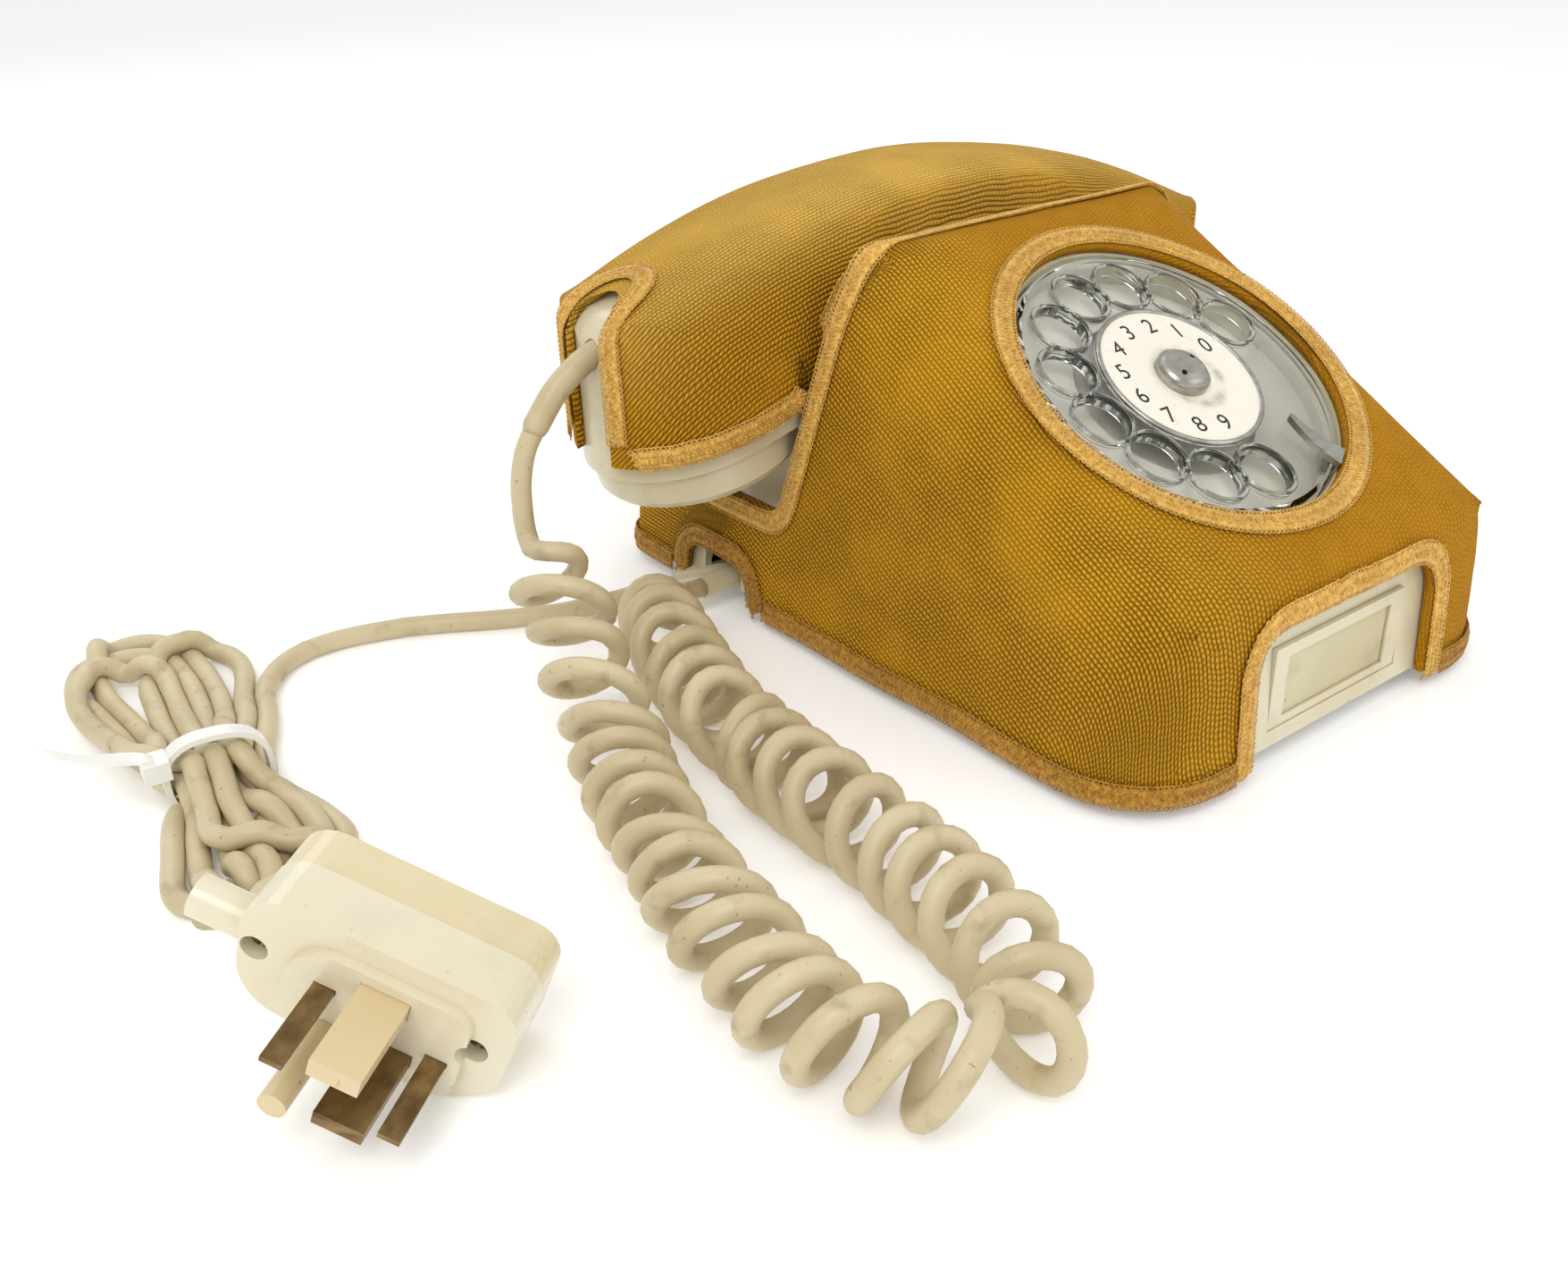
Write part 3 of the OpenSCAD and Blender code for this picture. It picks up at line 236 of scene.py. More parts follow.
def metalRecipe(main, stained, rough, lines=0.0):
    def recipe(w):
        where = w.node("ShaderNodeMapping", {}, {
            0: w.node("ShaderNodeTexCoord", out=3), "Scale": (1.0, 1.0, 1.0 + lines)})
        cloud = w.grain(160, 4.0, where).ramp(0.35, 0.72)
        colour = cloud.blendTo(tint(*main), tint(*stained))
        return {"Base Color": colour, "Metallic": 1.0, "Roughness": cloud * 0.22 + rough,
                "height": w.grain(1400, 2.0, where), "depth": 0.00004}
    return recipe


def acrylicRecipe(w):
    smear = w.grain(70, 3.0).ramp(0.5, 0.8)
    return {"Base Color": (0.97, 0.98, 0.96, 1), "Roughness": smear * 0.10 + 0.02, "IOR": 1.49,
            "Transmission Weight": 1.0}


def stainedDiscRecipe(w):
    spot = w.node("ShaderNodeMapping", {"vector_type": "POINT"}, {
        0: w.node("ShaderNodeTexCoord", out=3), "Location": (-0.0023, 0.0465, -0.0745)})
    away = w.node("ShaderNodeVectorMath", {"operation": "LENGTH"}, {0: spot}, 1)
    ring = (1 - w.sum("ABSOLUTE", away - 0.0088).ramp(0.0, 0.0022)) * w.grain(260, 3.0).ramp(0.35, 0.6)
    grime = w.grain(300, 4.0).ramp(0.60, 0.85)
    colour = (ring * 0.55).blendTo(tint(236, 230, 214), tint(136, 104, 58))
    colour = (grime * 0.35).blendTo(colour, tint(176, 152, 108))
    return {"Base Color": colour, "Roughness": 0.38, "Coat Weight": 0.2}


def plainRecipe(main, other, rough, scale=200, depth=0.00006):
    def recipe(w):
        cloud = w.grain(scale, 3.0).ramp(0.35, 0.7)
        return {"Base Color": cloud.blendTo(tint(*main), tint(*other)), "Roughness": cloud * 0.15 + rough,
                "height": w.grain(scale * 4, 2.0), "depth": depth}
    return recipe


finish("ribbedVelvet", velvetRecipe)
finish("goldBraid", braidRecipe((238, 196, 104), (190, 138, 42)))
finish("hemBraid", braidRecipe((206, 156, 52), (148, 98, 16)))
finish("ivoryPlastic", plasticRecipe((214, 206, 178), (202, 190, 154), 0.28))
finish("whitePlastic", plasticRecipe((226, 221, 200), (220, 210, 180), 0.26, 0.2))
finish("creamPlastic", plasticRecipe((222, 211, 176), (212, 196, 152), 0.28, 0.25))
finish("pinPlastic", plasticRecipe((222, 204, 164), (206, 184, 138), 0.35, 0.4))
finish("cordSkin", cordRecipe)
finish("satinMetal", metalRecipe((186, 184, 178), (148, 142, 130), 0.24, 3.0))
finish("bronzeBlade", metalRecipe((150, 124, 84), (96, 74, 46), 0.36, 2.0))
finish("brass", metalRecipe((200, 164, 92), (150, 112, 56), 0.28))
finish("copper", metalRecipe((190, 110, 70), (140, 74, 44), 0.3))
finish("clearAcrylic", acrylicRecipe)
finish("digitDisc", stainedDiscRecipe)
finish("paleRing", plasticRecipe((236, 233, 220), (220, 214, 194), 0.34, 0.3))
finish("blackInk", plainRecipe((22, 21, 20), (38, 36, 33), 0.5))
finish("paperCard", plasticRecipe((204, 195, 162), (190, 178, 138), 0.5, 0.6, 0.0))
finish("circuitBoard", plainRecipe((112, 78, 40), (92, 60, 28), 0.5))
finish("blackRubber", plainRecipe((44, 42, 40), (60, 57, 52), 0.7))
finish("clearNylon", plasticRecipe((238, 238, 232), (222, 220, 210), 0.22, 0.15))
finish("dullAluminium", metalRecipe((176, 178, 180), (140, 142, 144), 0.36))
print("finishes:", len(materials))

slotFinish = {"case_plastic": "ivoryPlastic", "velvet": "ribbedVelvet", "braid": "goldBraid",
              "acrylic": "clearAcrylic", "white_plastic": "whitePlastic", "steel": "satinMetal", "brass": "brass",
              "rubber": "blackRubber", "cord_pvc": "cordSkin", "copper": "copper", "board": "circuitBoard",
              "card": "paperCard", "nylon": "clearNylon", "aluminium": "dullAluminium"}
nodeFinish = {"number_disc": "digitDisc", "dial_ring": "paleRing", "dial_cup": "paleRing",
              "dial_shaft": "satinMetal", "plug_cover": "creamPlastic", "plug_key": "pinPlastic",
              "plug_blades": "bronzeBlade", "plug_screws": "bronzeBlade"}


def dress(node, name):
    target = nodes[node]
    for slot in target.material_slots:
        slot.material = materials[name]
    if not target.material_slots:
        target.data.materials.append(materials[name])


# camera, light and floor

view = {"place": (-0.2886, -0.2653, 0.1911), "back": (-0.535, -0.703, 0.4685), "roll": -1.68, "lens": 34.87}
studio = {"air": 0.78, "floorGlow": 0.16, "floorHalf": 6,
          "lights": (("keyLight", (-0.75, -0.55, 1.05), (0, 0, 0.04), 0.7, 6.5),
                     ("fillLight", (0.65, -0.95, 0.75), (0, 0, 0.05), 0.9, 2.5),
                     ("backLight", (-0.1, 0.95, 0.9), (0, 0, 0.05), 0.8, 2.5))}


def setStage():
    scene = bpy.context.scene
    back = Vector(view["back"]).normalized()
    right = (-back).cross(Vector((0, 0, 1))).normalized()
    up = back.cross(right)
    roll = math.radians(view["roll"])
    side = right * math.cos(roll) + up * math.sin(roll)
    top = up * math.cos(roll) - right * math.sin(roll)
    camera = bpy.data.objects.new("camera", bpy.data.cameras.new("camera"))
    camera.data.lens = view["lens"]
    camera.data.sensor_width = 36
    camera.data.sensor_fit = "HORIZONTAL"
    camera.data.clip_start = 0.01
    camera.matrix_world = Matrix((
        (side.x, top.x, back.x, view["place"][0]), (side.y, top.y, back.y, view["place"][1]),
        (side.z, top.z, back.z, view["place"][2]), (0, 0, 0, 1)))
    scene.collection.objects.link(camera)
    scene.camera = camera
    scene.view_settings.view_transform = "Standard"
    world = bpy.data.worlds.new("studio")
    world.use_nodes = True
    world.node_tree.nodes["Background"].inputs[0].default_value = (1, 1, 1, 1)
    world.node_tree.nodes["Background"].inputs[1].default_value = studio["air"]
    scene.world = world
    for name, place, target, size, power in studio["lights"]:
        light = bpy.data.objects.new(name, bpy.data.lights.new(name, "AREA"))
        light.data.size = size
        light.data.energy = power
        light.location = place
        light.rotation_euler = (Vector(target) - Vector(place)).to_track_quat("-Z", "Y").to_euler()
        scene.collection.objects.link(light)
    floorMesh = bpy.data.meshes.new("floor")
    far = studio["floorHalf"]
    floorMesh.from_pydata([(-far, -far, 0), (far, -far, 0), (far, far, 0), (-far, far, 0)], [], [(0, 1, 2, 3)])
    floor = bpy.data.objects.new("floor", floorMesh)
    scene.collection.objects.link(floor)
    floorMesh.materials.append(finish("paleFloor", lambda w: {
        "Base Color": (0.93, 0.93, 0.92, 1), "Roughness": 0.8, "Specular IOR Level": 0.1,
        "Emission Color": (1, 1, 1, 1), "Emission Strength": studio["floorGlow"]}))


setStage()
print("stage set")


# lines and tubes

# A smooth curve through the points, with even steps
def smoothLine(points, step):
    p = np.array(points, float)
    p = np.vstack([2 * p[0] - p[1], p, 2 * p[-1] - p[-2]])
    out = []
    for i in range(1, len(p) - 2):
        a, b, c, d = p[i - 1:i + 3]
        t = np.linspace(0, 1, 24, endpoint=False)[:, None]
        out.append(0.5 * (2 * b + (c - a) * t + (2 * a - 5 * b + 4 * c - d) * t ** 2
                          + (3 * b - a - 3 * c + d) * t ** 3))
    return evenLine(np.vstack(out + [p[-2:-1]]), step)


def evenLine(line, step):
    along = lengths(line)
    at = np.linspace(0, along[-1], max(2, int(round(along[-1] / step)) + 1))
    return np.stack([np.interp(at, along, line[:, k]) for k in range(3)], axis=1)


def lengths(line):
    return np.concatenate([[0], np.cumsum(np.linalg.norm(np.diff(line, axis=0), axis=1))])


# Directions along and across a line, which turn as little as they can
def frames(line, start=(0, 0, 1)):
    ahead = np.gradient(line, axis=0)
    ahead /= np.linalg.norm(ahead, axis=1)[:, None]
    side = np.cross(ahead[0], start)
    sides = []
    for d in ahead:
        side = side - d * (side @ d)
        side = side / np.linalg.norm(side)
        sides.append(side)
    sides = np.array(sides)
    return ahead, sides, np.cross(ahead, sides)


def newPiece(name, vertices, faces, finishName, body, smooth=True):
    mesh = bpy.data.meshes.new(name)
    mesh.from_pydata([tuple(v) for v in vertices], [], faces)
    if smooth:
        mesh.shade_smooth()
    mesh.materials.append(materials[finishName])
    piece = bpy.data.objects.new(name, mesh)
    bpy.context.scene.collection.objects.link(piece)
    if body:
        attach(piece, body)
    return piece


def tubeMesh(line, radius, sides):
    ahead, u, v = frames(line)
    radius = np.broadcast_to(radius, len(line))[:, None]
    turn = np.linspace(0, 2 * math.pi, sides, endpoint=False)
    rings = [line + radius * (u * math.cos(t) + v * math.sin(t)) for t in turn]
    vertices = np.stack(rings, axis=1).reshape(-1, 3)
    faces = [(i * sides + k, (i + 1) * sides + k, (i + 1) * sides + (k + 1) % sides, i * sides + (k + 1) % sides)
             for i in range(len(line) - 1) for k in range(sides)]
    last = (len(line) - 1) * sides
    faces += [tuple(range(sides)), tuple(last + k for k in reversed(range(sides)))]
    return vertices, [f[::-1] for f in faces]


def tubePiece(name, line, radius, sides, finishName, body):
    return newPiece(name, *tubeMesh(line, radius, sides), finishName, body)


# curly cord

curly = {"wire": 5.2, "coilRadius": 9.0, "pitch": 11.6, "sides": 12, "ringGap": 2.61, "seamRun": 235.8,
         "leadRun": 30, "flipRun": 235, "uneven": 0.16, "hangingStretch": 0.55, "baseStretch": 0.25,
         "radiusJitter": 0.05, "lean": 0.28, "leanJitter": 0.22, "seed": 4,
         "handset": [[-121.2, 52, 65.8], [-125, 52, 60], [-127, 52, 53], [-127.5, 52, 47], [-127.5, 52, 42]],
         "curl": [[-127, 52, 38], [-127, 45, 32], [-129, 34, 27], [-133, 19, 21], [-138, 4, 16],
                  [-144, -13, 12], [-151, -33, 12], [-158, -58, 12], [-163, -85, 12], [-165, -107, 12],
                  [-160, -125, 12], [-149, -134, 12], [-136, -132, 12], [-128, -120, 12], [-124, -100, 12],
                  [-121, -73, 12], [-120, -43, 12], [-116, -13, 12], [-110, 9, 12], [-103, 28, 12]],
         "base": [[-98, 40, 10.5], [-91, 47, 9], [-84, 50, 8.4], [-76.3, 50.6, 8]]}


# The coil winds one way from the handset, and the other way after flipRun
def curlyLine():
    spine = smoothLine(curly["handset"] + curly["curl"] + curly["base"], 0.25) * mm
    run = lengths(spine)
    ahead, u, v = frames(spine, (0, 1, 0))
    rng = np.random.default_rng(curly["seed"])
    knots = rng.normal(0, 1, (3, 60))
    at = np.linspace(0, run[-1], 60)
    loose = np.interp(run, at, knots[0])
    leadEnd = curly["leadRun"] * mm
    coiled = np.clip((run - leadEnd) / 0.010, 0, 1) * np.clip((run[-1] - run - 0.012) / 0.014, 0, 1)
    coiled = coiled * coiled * (3 - 2 * coiled)
    hanging = np.clip(1 - (run - leadEnd) / 0.09, 0, 1)
    nearBase = np.clip(1 - (run[-1] - run) / 0.07, 0, 1)
    pitch = curly["pitch"] * mm * (1 + curly["uneven"] * loose + curly["hangingStretch"] * hanging
                                   + curly["baseStretch"] * nearBase)
    flip = np.tanh((run - curly["flipRun"] * mm) / 0.006)
    turns = np.cumsum(np.gradient(run) / pitch * flip) * 2 * math.pi + 1.2
    radius = curly["coilRadius"] * mm * (1 + curly["radiusJitter"] * np.interp(run, at, knots[1])) * coiled
    aboveFloor = np.maximum(spine[:, 2] - 2.75 * mm, 0)
    radius = np.minimum(radius, aboveFloor * np.where(spine[:, 2] < 0.0125, 1, 9))
    lean = curly["leanJitter"] * np.interp(run, at, knots[2]) + curly["lean"]
    ring = u * np.cos(turns)[:, None] + v * np.sin(turns)[:, None]
    shift = ahead * (radius * lean * np.sin(turns + 0.6))[:, None]
    return spine + ring * radius[:, None] + shift, run


def makeCurlyCord():
    line, run = curlyLine()
    seam = int(np.searchsorted(run, curly["seamRun"] * mm))
    upper = evenLine(line[:seam + 1], curly["ringGap"] * mm)
    lower = evenLine(line[seam:], curly["ringGap"] * mm)
    lower[0] = upper[-1]
    d = curly["wire"] * mm
    base = tubePiece("curlyCordLower", lower, d / 2, curly["sides"], "cordSkin", "case")
    top = tubePiece("curlyCordUpper", upper, d / 2, curly["sides"], "cordSkin", None)
    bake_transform(top)
    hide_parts("curly_cord", "base_lead")
    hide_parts("handset_lead")
    print("curly cord:", round(float(lengths(lower)[-1] + lengths(upper)[-1]), 3), "m")


sleeve = {"radius": 3.25, "mouth": (3.1, 2.7), "sides": 20,
          "route": [[-99, 52, 81.6], [-107, 52, 78.5], [-115, 52, 73], [-121.2, 52, 65.8], [-122.4, 52, 64.0]]}


def makeSleeve():
    line = smoothLine(sleeve["route"], 1.0) * mm
    radius = np.full(len(line), sleeve["radius"] * mm)
    radius[-2:] = [r * mm for r in sleeve["mouth"]]
    piece = tubePiece("handsetSleeve", line, radius, sleeve["sides"], "cordSkin", "handset")
    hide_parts("handset_sleeve")


makeCurlyCord()
makeSleeve()


# line cord and its tied hank

hank = {"wire": 5.2, "mid": (-213, 60), "turn": 84, "tieAt": -18, "gap": 5.5,
        "line": [[-78.4, 62.8, 5.2], [-86, 66.5, 3.8], [-96, 69.5, 2.9], [-110, 73, 2.8], [-124, 80, 2.8],
                 [-137, 88, 2.8], [-150, 95, 2.8], [-166, 101.5, 2.8], [-178, 102, 3.2]],
        "plug": [[-219.5, -8, 6.5], [-221, -14.5, 8], [-226, -20, 12], [-233, -26, 19], [-241, -34, 28]],
        "slots": [(-1.5, 0), (0.4, 0), (-1.1, 1), (1.4, 0), (-0.2, 1), (1.3, 1), (-0.9, 2), (0.9, 2), (0.0, 2)],
        "far": [(70, 8, 15, 0), (62, -9, 14, 1), (77, 3, 14, 1), (60, 10, 13, 2)],
        "near": [(-64, -7, 14, 0), (-60, 7, 14, 0), (-70, 2, 15, 1), (-54, -6, 13, 2)],
        "bend": ((0.5, 0.75), (0.82, 1.0), (0.97, 0.6), (1.0, 0.0), (0.97, -0.6), (0.82, -1.0), (0.5, -0.75)),
        "rounds": 260, "neighbours": 4, "push": 0.28, "straighten": 0.22, "sink": 0.05, "mostMove": 0.8,
        "firstHeld": 26, "lastHeld": 10}


# A place in the hank: along it, across it, and up
def hankPoint(a, b, z):
    turn = math.radians(hank["turn"])
    x = hank["mid"][0] + a * math.cos(turn) - b * math.sin(turn)
    y = hank["mid"][1] + a * math.sin(turn) + b * math.cos(turn)
    return [x, y, z]


# The cord passes the tie once for each slot, and turns back at the far and near ends in between
def hankLine():
    gap = hank["gap"]
    places = [(c * gap, 2.9 + gap * layer) for c, layer in hank["slots"]]
    route = list(hank["line"])
    pinned = []
    for i, (b, z) in enumerate(places):
        if i:
            far = (i - 1) % 2 == 1
            apex, mid, half, layer = hank["far" if far else "near"][(i - 1) // 2]
            lift = 2.9 + gap * layer
            sign = 1 if places[i - 1][0] < b else -1
            span = apex - hank["tieAt"]
            for share, wide in hank["bend"]:
                aside = mid * min(1, share + 0.2) - sign * half * wide
                route.append(hankPoint(hank["tieAt"] + span * share, aside, lift))
        if not i:
            route.append(hankPoint(22, -15, 2.9))
        pinned.append(len(route))
        route.append(hankPoint(hank["tieAt"], b, z))
    route.append(hankPoint(-45, 2, 12))
    route += hank["plug"]
    line = smoothLine(route, 3.0)
    held = [int(np.argmin(np.linalg.norm(line - np.array(route[i]), axis=1))) for i in pinned]
    return relax(line, held, hank["wire"])


# Runs that cut into each other are pushed apart, while the cord keeps its length and stays on the floor
def relax(line, held, thick):
    line = line.copy()
    n = len(line)
    first, last = hank["firstHeld"], hank["lastHeld"]
    fixed = np.zeros(n, bool)
    fixed[:first] = True
    fixed[-last:] = True
    fixed[held] = True
    rest = np.linalg.norm(np.diff(line, axis=0), axis=1).mean()
    apart = np.abs(np.arange(n)[:, None] - np.arange(n)[None, :]) > hank["neighbours"]
    for _ in range(hank["rounds"]):
        gap = line[:, None] - line[None]
        far = np.linalg.norm(gap, axis=2) + 1e-6
        press = np.where(apart & (far < thick), (thick - far) / far * hank["push"], 0)
        move = (gap * press[:, :, None]).sum(1)
        move[1:-1] += hank["straighten"] * ((line[:-2] + line[2:]) / 2 - line[1:-1])
        move[:, 2] -= hank["sink"]
        move = np.clip(move, -hank["mostMove"], hank["mostMove"])
        move[fixed] = 0
        line += move
        for _ in range(2):
            d = np.diff(line, axis=0)
            long = np.linalg.norm(d, axis=1)[:, None]
            fix = d * (1 - rest / long) * 0.5
            line[:-1][~fixed[:-1]] += fix[~fixed[:-1]]
            line[1:][~fixed[1:]] -= fix[~fixed[1:]]
        line[first:-last, 2] = np.maximum(line[first:-last, 2], thick / 2 + 0.1)
    return line


def makeLineCord():
    path = smoothLine(hankLine(), 2.2) * mm
    d = hank["wire"] * mm
    piece = tubePiece("lineCord", path, d / 2, 14, "cordSkin", "case")
    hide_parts("line_cord", "cord_bundle", "plug_cord")
    print("line cord:", round(float(lengths(path)[-1]), 3), "m")


makeLineCord()


# covers of ribbed cloth

cover = {"edge": 4.2, "softening": 9, "sway": 0.65, "swaySize": 36, "seed": 1, "tilt": 31}
noise.seed_set(cover["seed"])  # else the sway comes from the clock


def sway(points):
    size = cover["swaySize"] * mm
    return np.array([noise.noise_vector(Vector(p) / size) for p in points]) * cover["sway"] * mm


# How far each point is across the ribs, along the crest, and down from it
def clothCoords(points, along, height, side, middle):
    run, tall, wide = (points - middle) @ along, (points - middle) @ height, (points - middle) @ side
    cell = 3 * mm
    slot = ((run - run.min()) / cell).astype(int)
    crest = np.full(slot.max() + 1, -1.0)
    np.maximum.at(crest, slot, tall)
    crest = np.convolve(np.pad(crest, 2, "edge"), np.ones(5) / 5, "valid")
    steep = np.clip(np.gradient(crest, cell), -1.6, 1.6)
    far = np.concatenate([[0], np.cumsum(np.sqrt(1 + steep[:-1] ** 2) * cell)])
    places = run.min() + (np.arange(len(crest)) + 0.5) * cell
    depth = np.maximum(np.interp(run, places, crest) - tall, 0)
    return np.stack([wide + np.sign(wide) * depth, np.interp(run, places, far), depth], axis=1)


# The cover's CAD shell cut fine, its faces relaxed between the rims, and swayed a little as sewn cloth is
def softCover(name, node, body, along, height, side, middle):
    bm = bmesh.new()
    bm.from_mesh(nodes[node].data)
    bmesh.ops.remove_doubles(bm, verts=bm.verts, dist=0.00001)
    bmesh.ops.dissolve_limit(bm, angle_limit=math.radians(0.4), verts=bm.verts, edges=bm.edges)
    bmesh.ops.triangulate(bm, faces=bm.faces[:])
    for _ in range(9):
        long = [e for e in bm.edges if e.calc_length() > cover["edge"] * mm]
        if not long:
            break
        bmesh.ops.subdivide_edges(bm, edges=long, cuts=1)
        bmesh.ops.triangulate(bm, faces=bm.faces[:])
    rims = {v for e in bm.edges if len(e.link_faces) != 2 or e.calc_face_angle() > 0.8 for v in e.verts}
    inner = [v for v in bm.verts if v not in rims]
    for _ in range(cover["softening"]):
        bmesh.ops.smooth_vert(bm, verts=inner, factor=0.5, use_axis_x=True, use_axis_y=True, use_axis_z=True)
    mesh = bpy.data.meshes.new(name)
    bm.to_mesh(mesh)
    bm.free()
    points = np.array([v.co for v in mesh.vertices])
    coords = clothCoords(points, *[np.array(v, float) for v in (along, height, side)], np.array(middle) * mm)
    cloth = mesh.attributes.new("cloth", "FLOAT_VECTOR", "POINT")
    cloth.data.foreach_set("vector", coords.astype(np.float32).ravel())
    mesh.vertices.foreach_set("co", (points + sway(points)).ravel())
    mesh.shade_smooth()
    mesh.set_sharp_from_angle(angle=math.radians(42))
    mesh.materials.append(materials["ribbedVelvet"])
    piece = bpy.data.objects.new(name, mesh)
    bpy.context.scene.collection.objects.link(piece)
    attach(piece, body)
    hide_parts(node)
    print(name, len(mesh.polygons), "faces")


slope = math.radians(cover["tilt"])
softCover("bodyCoverCloth", "body_cover", "case", (0, math.cos(slope), math.sin(slope)),
          (0, -math.sin(slope), math.cos(slope)), (1, 0, 0), (0, 0, 0))
softCover("handsetCoverCloth", "handset_cover", "handset", (1, 0, 0), (0, 0, 1), (0, 1, 0), (0, 52, 0))


# gimp braid along every edge of the covers

gimp = {"pitch": 1.15, "rope": (1.75, 0.85, 0.85), "slant": 0.6, "ropeAt": (0.95, -0.75),
        "bar": (0.5, 1.9, 0.6), "picot": 0.62, "picotAt": 2.45, "lowerPicot": 0.46, "lowerAt": -2.6, "thread": 0.24, "lift": 0.3,
        "strip": (4.6, 0.95), "sunk": 0.7, "gap": 9, "castReach": 0.19, "fewest": 12, "reach": 7.0,
        "widest": 10.5, "step": 1.5, "turns": (0.5, -0.5, 0.9, -0.9, 1.3, -1.3)}


# Middle, width direction and size of a band where a plane cuts it near a place
def bandShape(place, ahead, triangles):
    away = (triangles - place) @ ahead
    hits = []
    for a, b in ((0, 1), (1, 2), (2, 0)):
        cut = away[:, a] * away[:, b] < 0
        share = (away[cut, a] / (away[cut, a] - away[cut, b]))[:, None]
        hits.append(triangles[cut, a] + share * (triangles[cut, b] - triangles[cut, a]))
    hits = np.vstack(hits)
    hits = hits[np.linalg.norm(hits - place, axis=1) < gimp["reach"] * mm]
    if len(hits) < 6:
        return None
    axes = np.linalg.svd(hits - hits.mean(0), full_matrices=False)[2]
    spread = (hits - place) @ axes.T
    middle = place + (spread.max(0) + spread.min(0)) / 2 @ axes
    return middle, axes[0], spread.max(0) - spread.min(0)


# Walks both ways along a band from a seed on it, slice by slice
def followBand(node, seed, heading, centre):
    mesh = nodes[node].data
    mesh.calc_loop_triangles()
    corner = np.array([v.co for v in mesh.vertices])
    triangles = corner[np.array([t.vertices for t in mesh.loop_triangles])]
    seed = np.array(seed, float) * mm
    runs = []
    for sign in (1, -1):
        ahead = np.array(heading, float) * sign
        place, rows, up = seed, [], None
        for _ in range(900):
            shape = bandShape(place, ahead, triangles)
            for angle in gimp["turns"]:
                if shape is None and rows:
                    bent = ahead * math.cos(angle) + np.cross(up, ahead) * math.sin(angle)
                    shape = bandShape(rows[-1][0] + bent * 1.6 * mm, bent, triangles)
                    ahead = ahead if shape is None else bent
            if shape is None or shape[2][0] > gimp["widest"] * mm:
                break
            middle, across, _ = shape
            normal = np.cross(ahead, across)
            if up is None:
                up = normal if normal @ (middle - np.array(centre) * mm) > 0 else -normal
            if normal @ up < 0:
                normal, across = -normal, -across
            if rows:
                step = middle - rows[-1][0]
                if np.linalg.norm(step) < 0.2 * mm:
                    break
                ahead = ahead * 0.35 + step / np.linalg.norm(step) * 0.65
                ahead /= np.linalg.norm(ahead)
            up = normal / np.linalg.norm(normal)
            rows.append((middle, up))
            if len(rows) > 40 and np.linalg.norm(middle - rows[0][0]) < 1.6 * mm:
                break
            place = middle + ahead * gimp["step"] * mm
        runs.append(rows)
        if len(rows) > 40 and np.linalg.norm(rows[-1][0] - rows[0][0]) < 1.7 * mm:
            return rows + rows[:1]
    return runs[1][::-1] + runs[0][1:]


# Finds a band's middle by rays across it at each step along it; a gap in the band starts a new run
def castBand(node, ray, along, across):
    mesh = nodes[node].data
    tree = BVHTree.FromPolygons([v.co for v in mesh.vertices], [tuple(p.vertices) for p in mesh.polygons])
    runs, rows = [], []
    for a in along:
        hits = []
        for b in across:
            start, heading = ray(a, b)
            place, normal, _, _ = tree.ray_cast(Vector(start), Vector(heading), gimp["castReach"])
            if place is not None:
                hits.append((place, normal))
        if not hits:
            continue
        middle = (hits[0][0] + hits[-1][0]) / 2
        place, normal = min(hits, key=lambda hit: (hit[0] - middle).length)
        place = np.array(place - normal * gimp["sunk"] * mm)
        if rows and np.linalg.norm(place - rows[-1][0]) > gimp["gap"] * mm:
            runs.append(rows)
            rows = []
        rows.append((place, np.array(normal)))
    return [r for r in runs + [rows] if len(r) > gimp["fewest"]]


# Rays that look in at an upright axis
def roundRay(centreY):
    def ray(turn, height):
        out = np.array((math.cos(turn), math.sin(turn), 0))
        return tuple(np.array((0, centreY * mm, height * mm)) + out * 0.2), tuple(-out)
    return ray


# Rays that look at the front, fanned round the foot of its opening
def frontRay(turn, radius):
    return (radius * math.cos(turn) * mm, -0.25, (3 + radius * math.sin(turn)) * mm), (0, 1, 0)


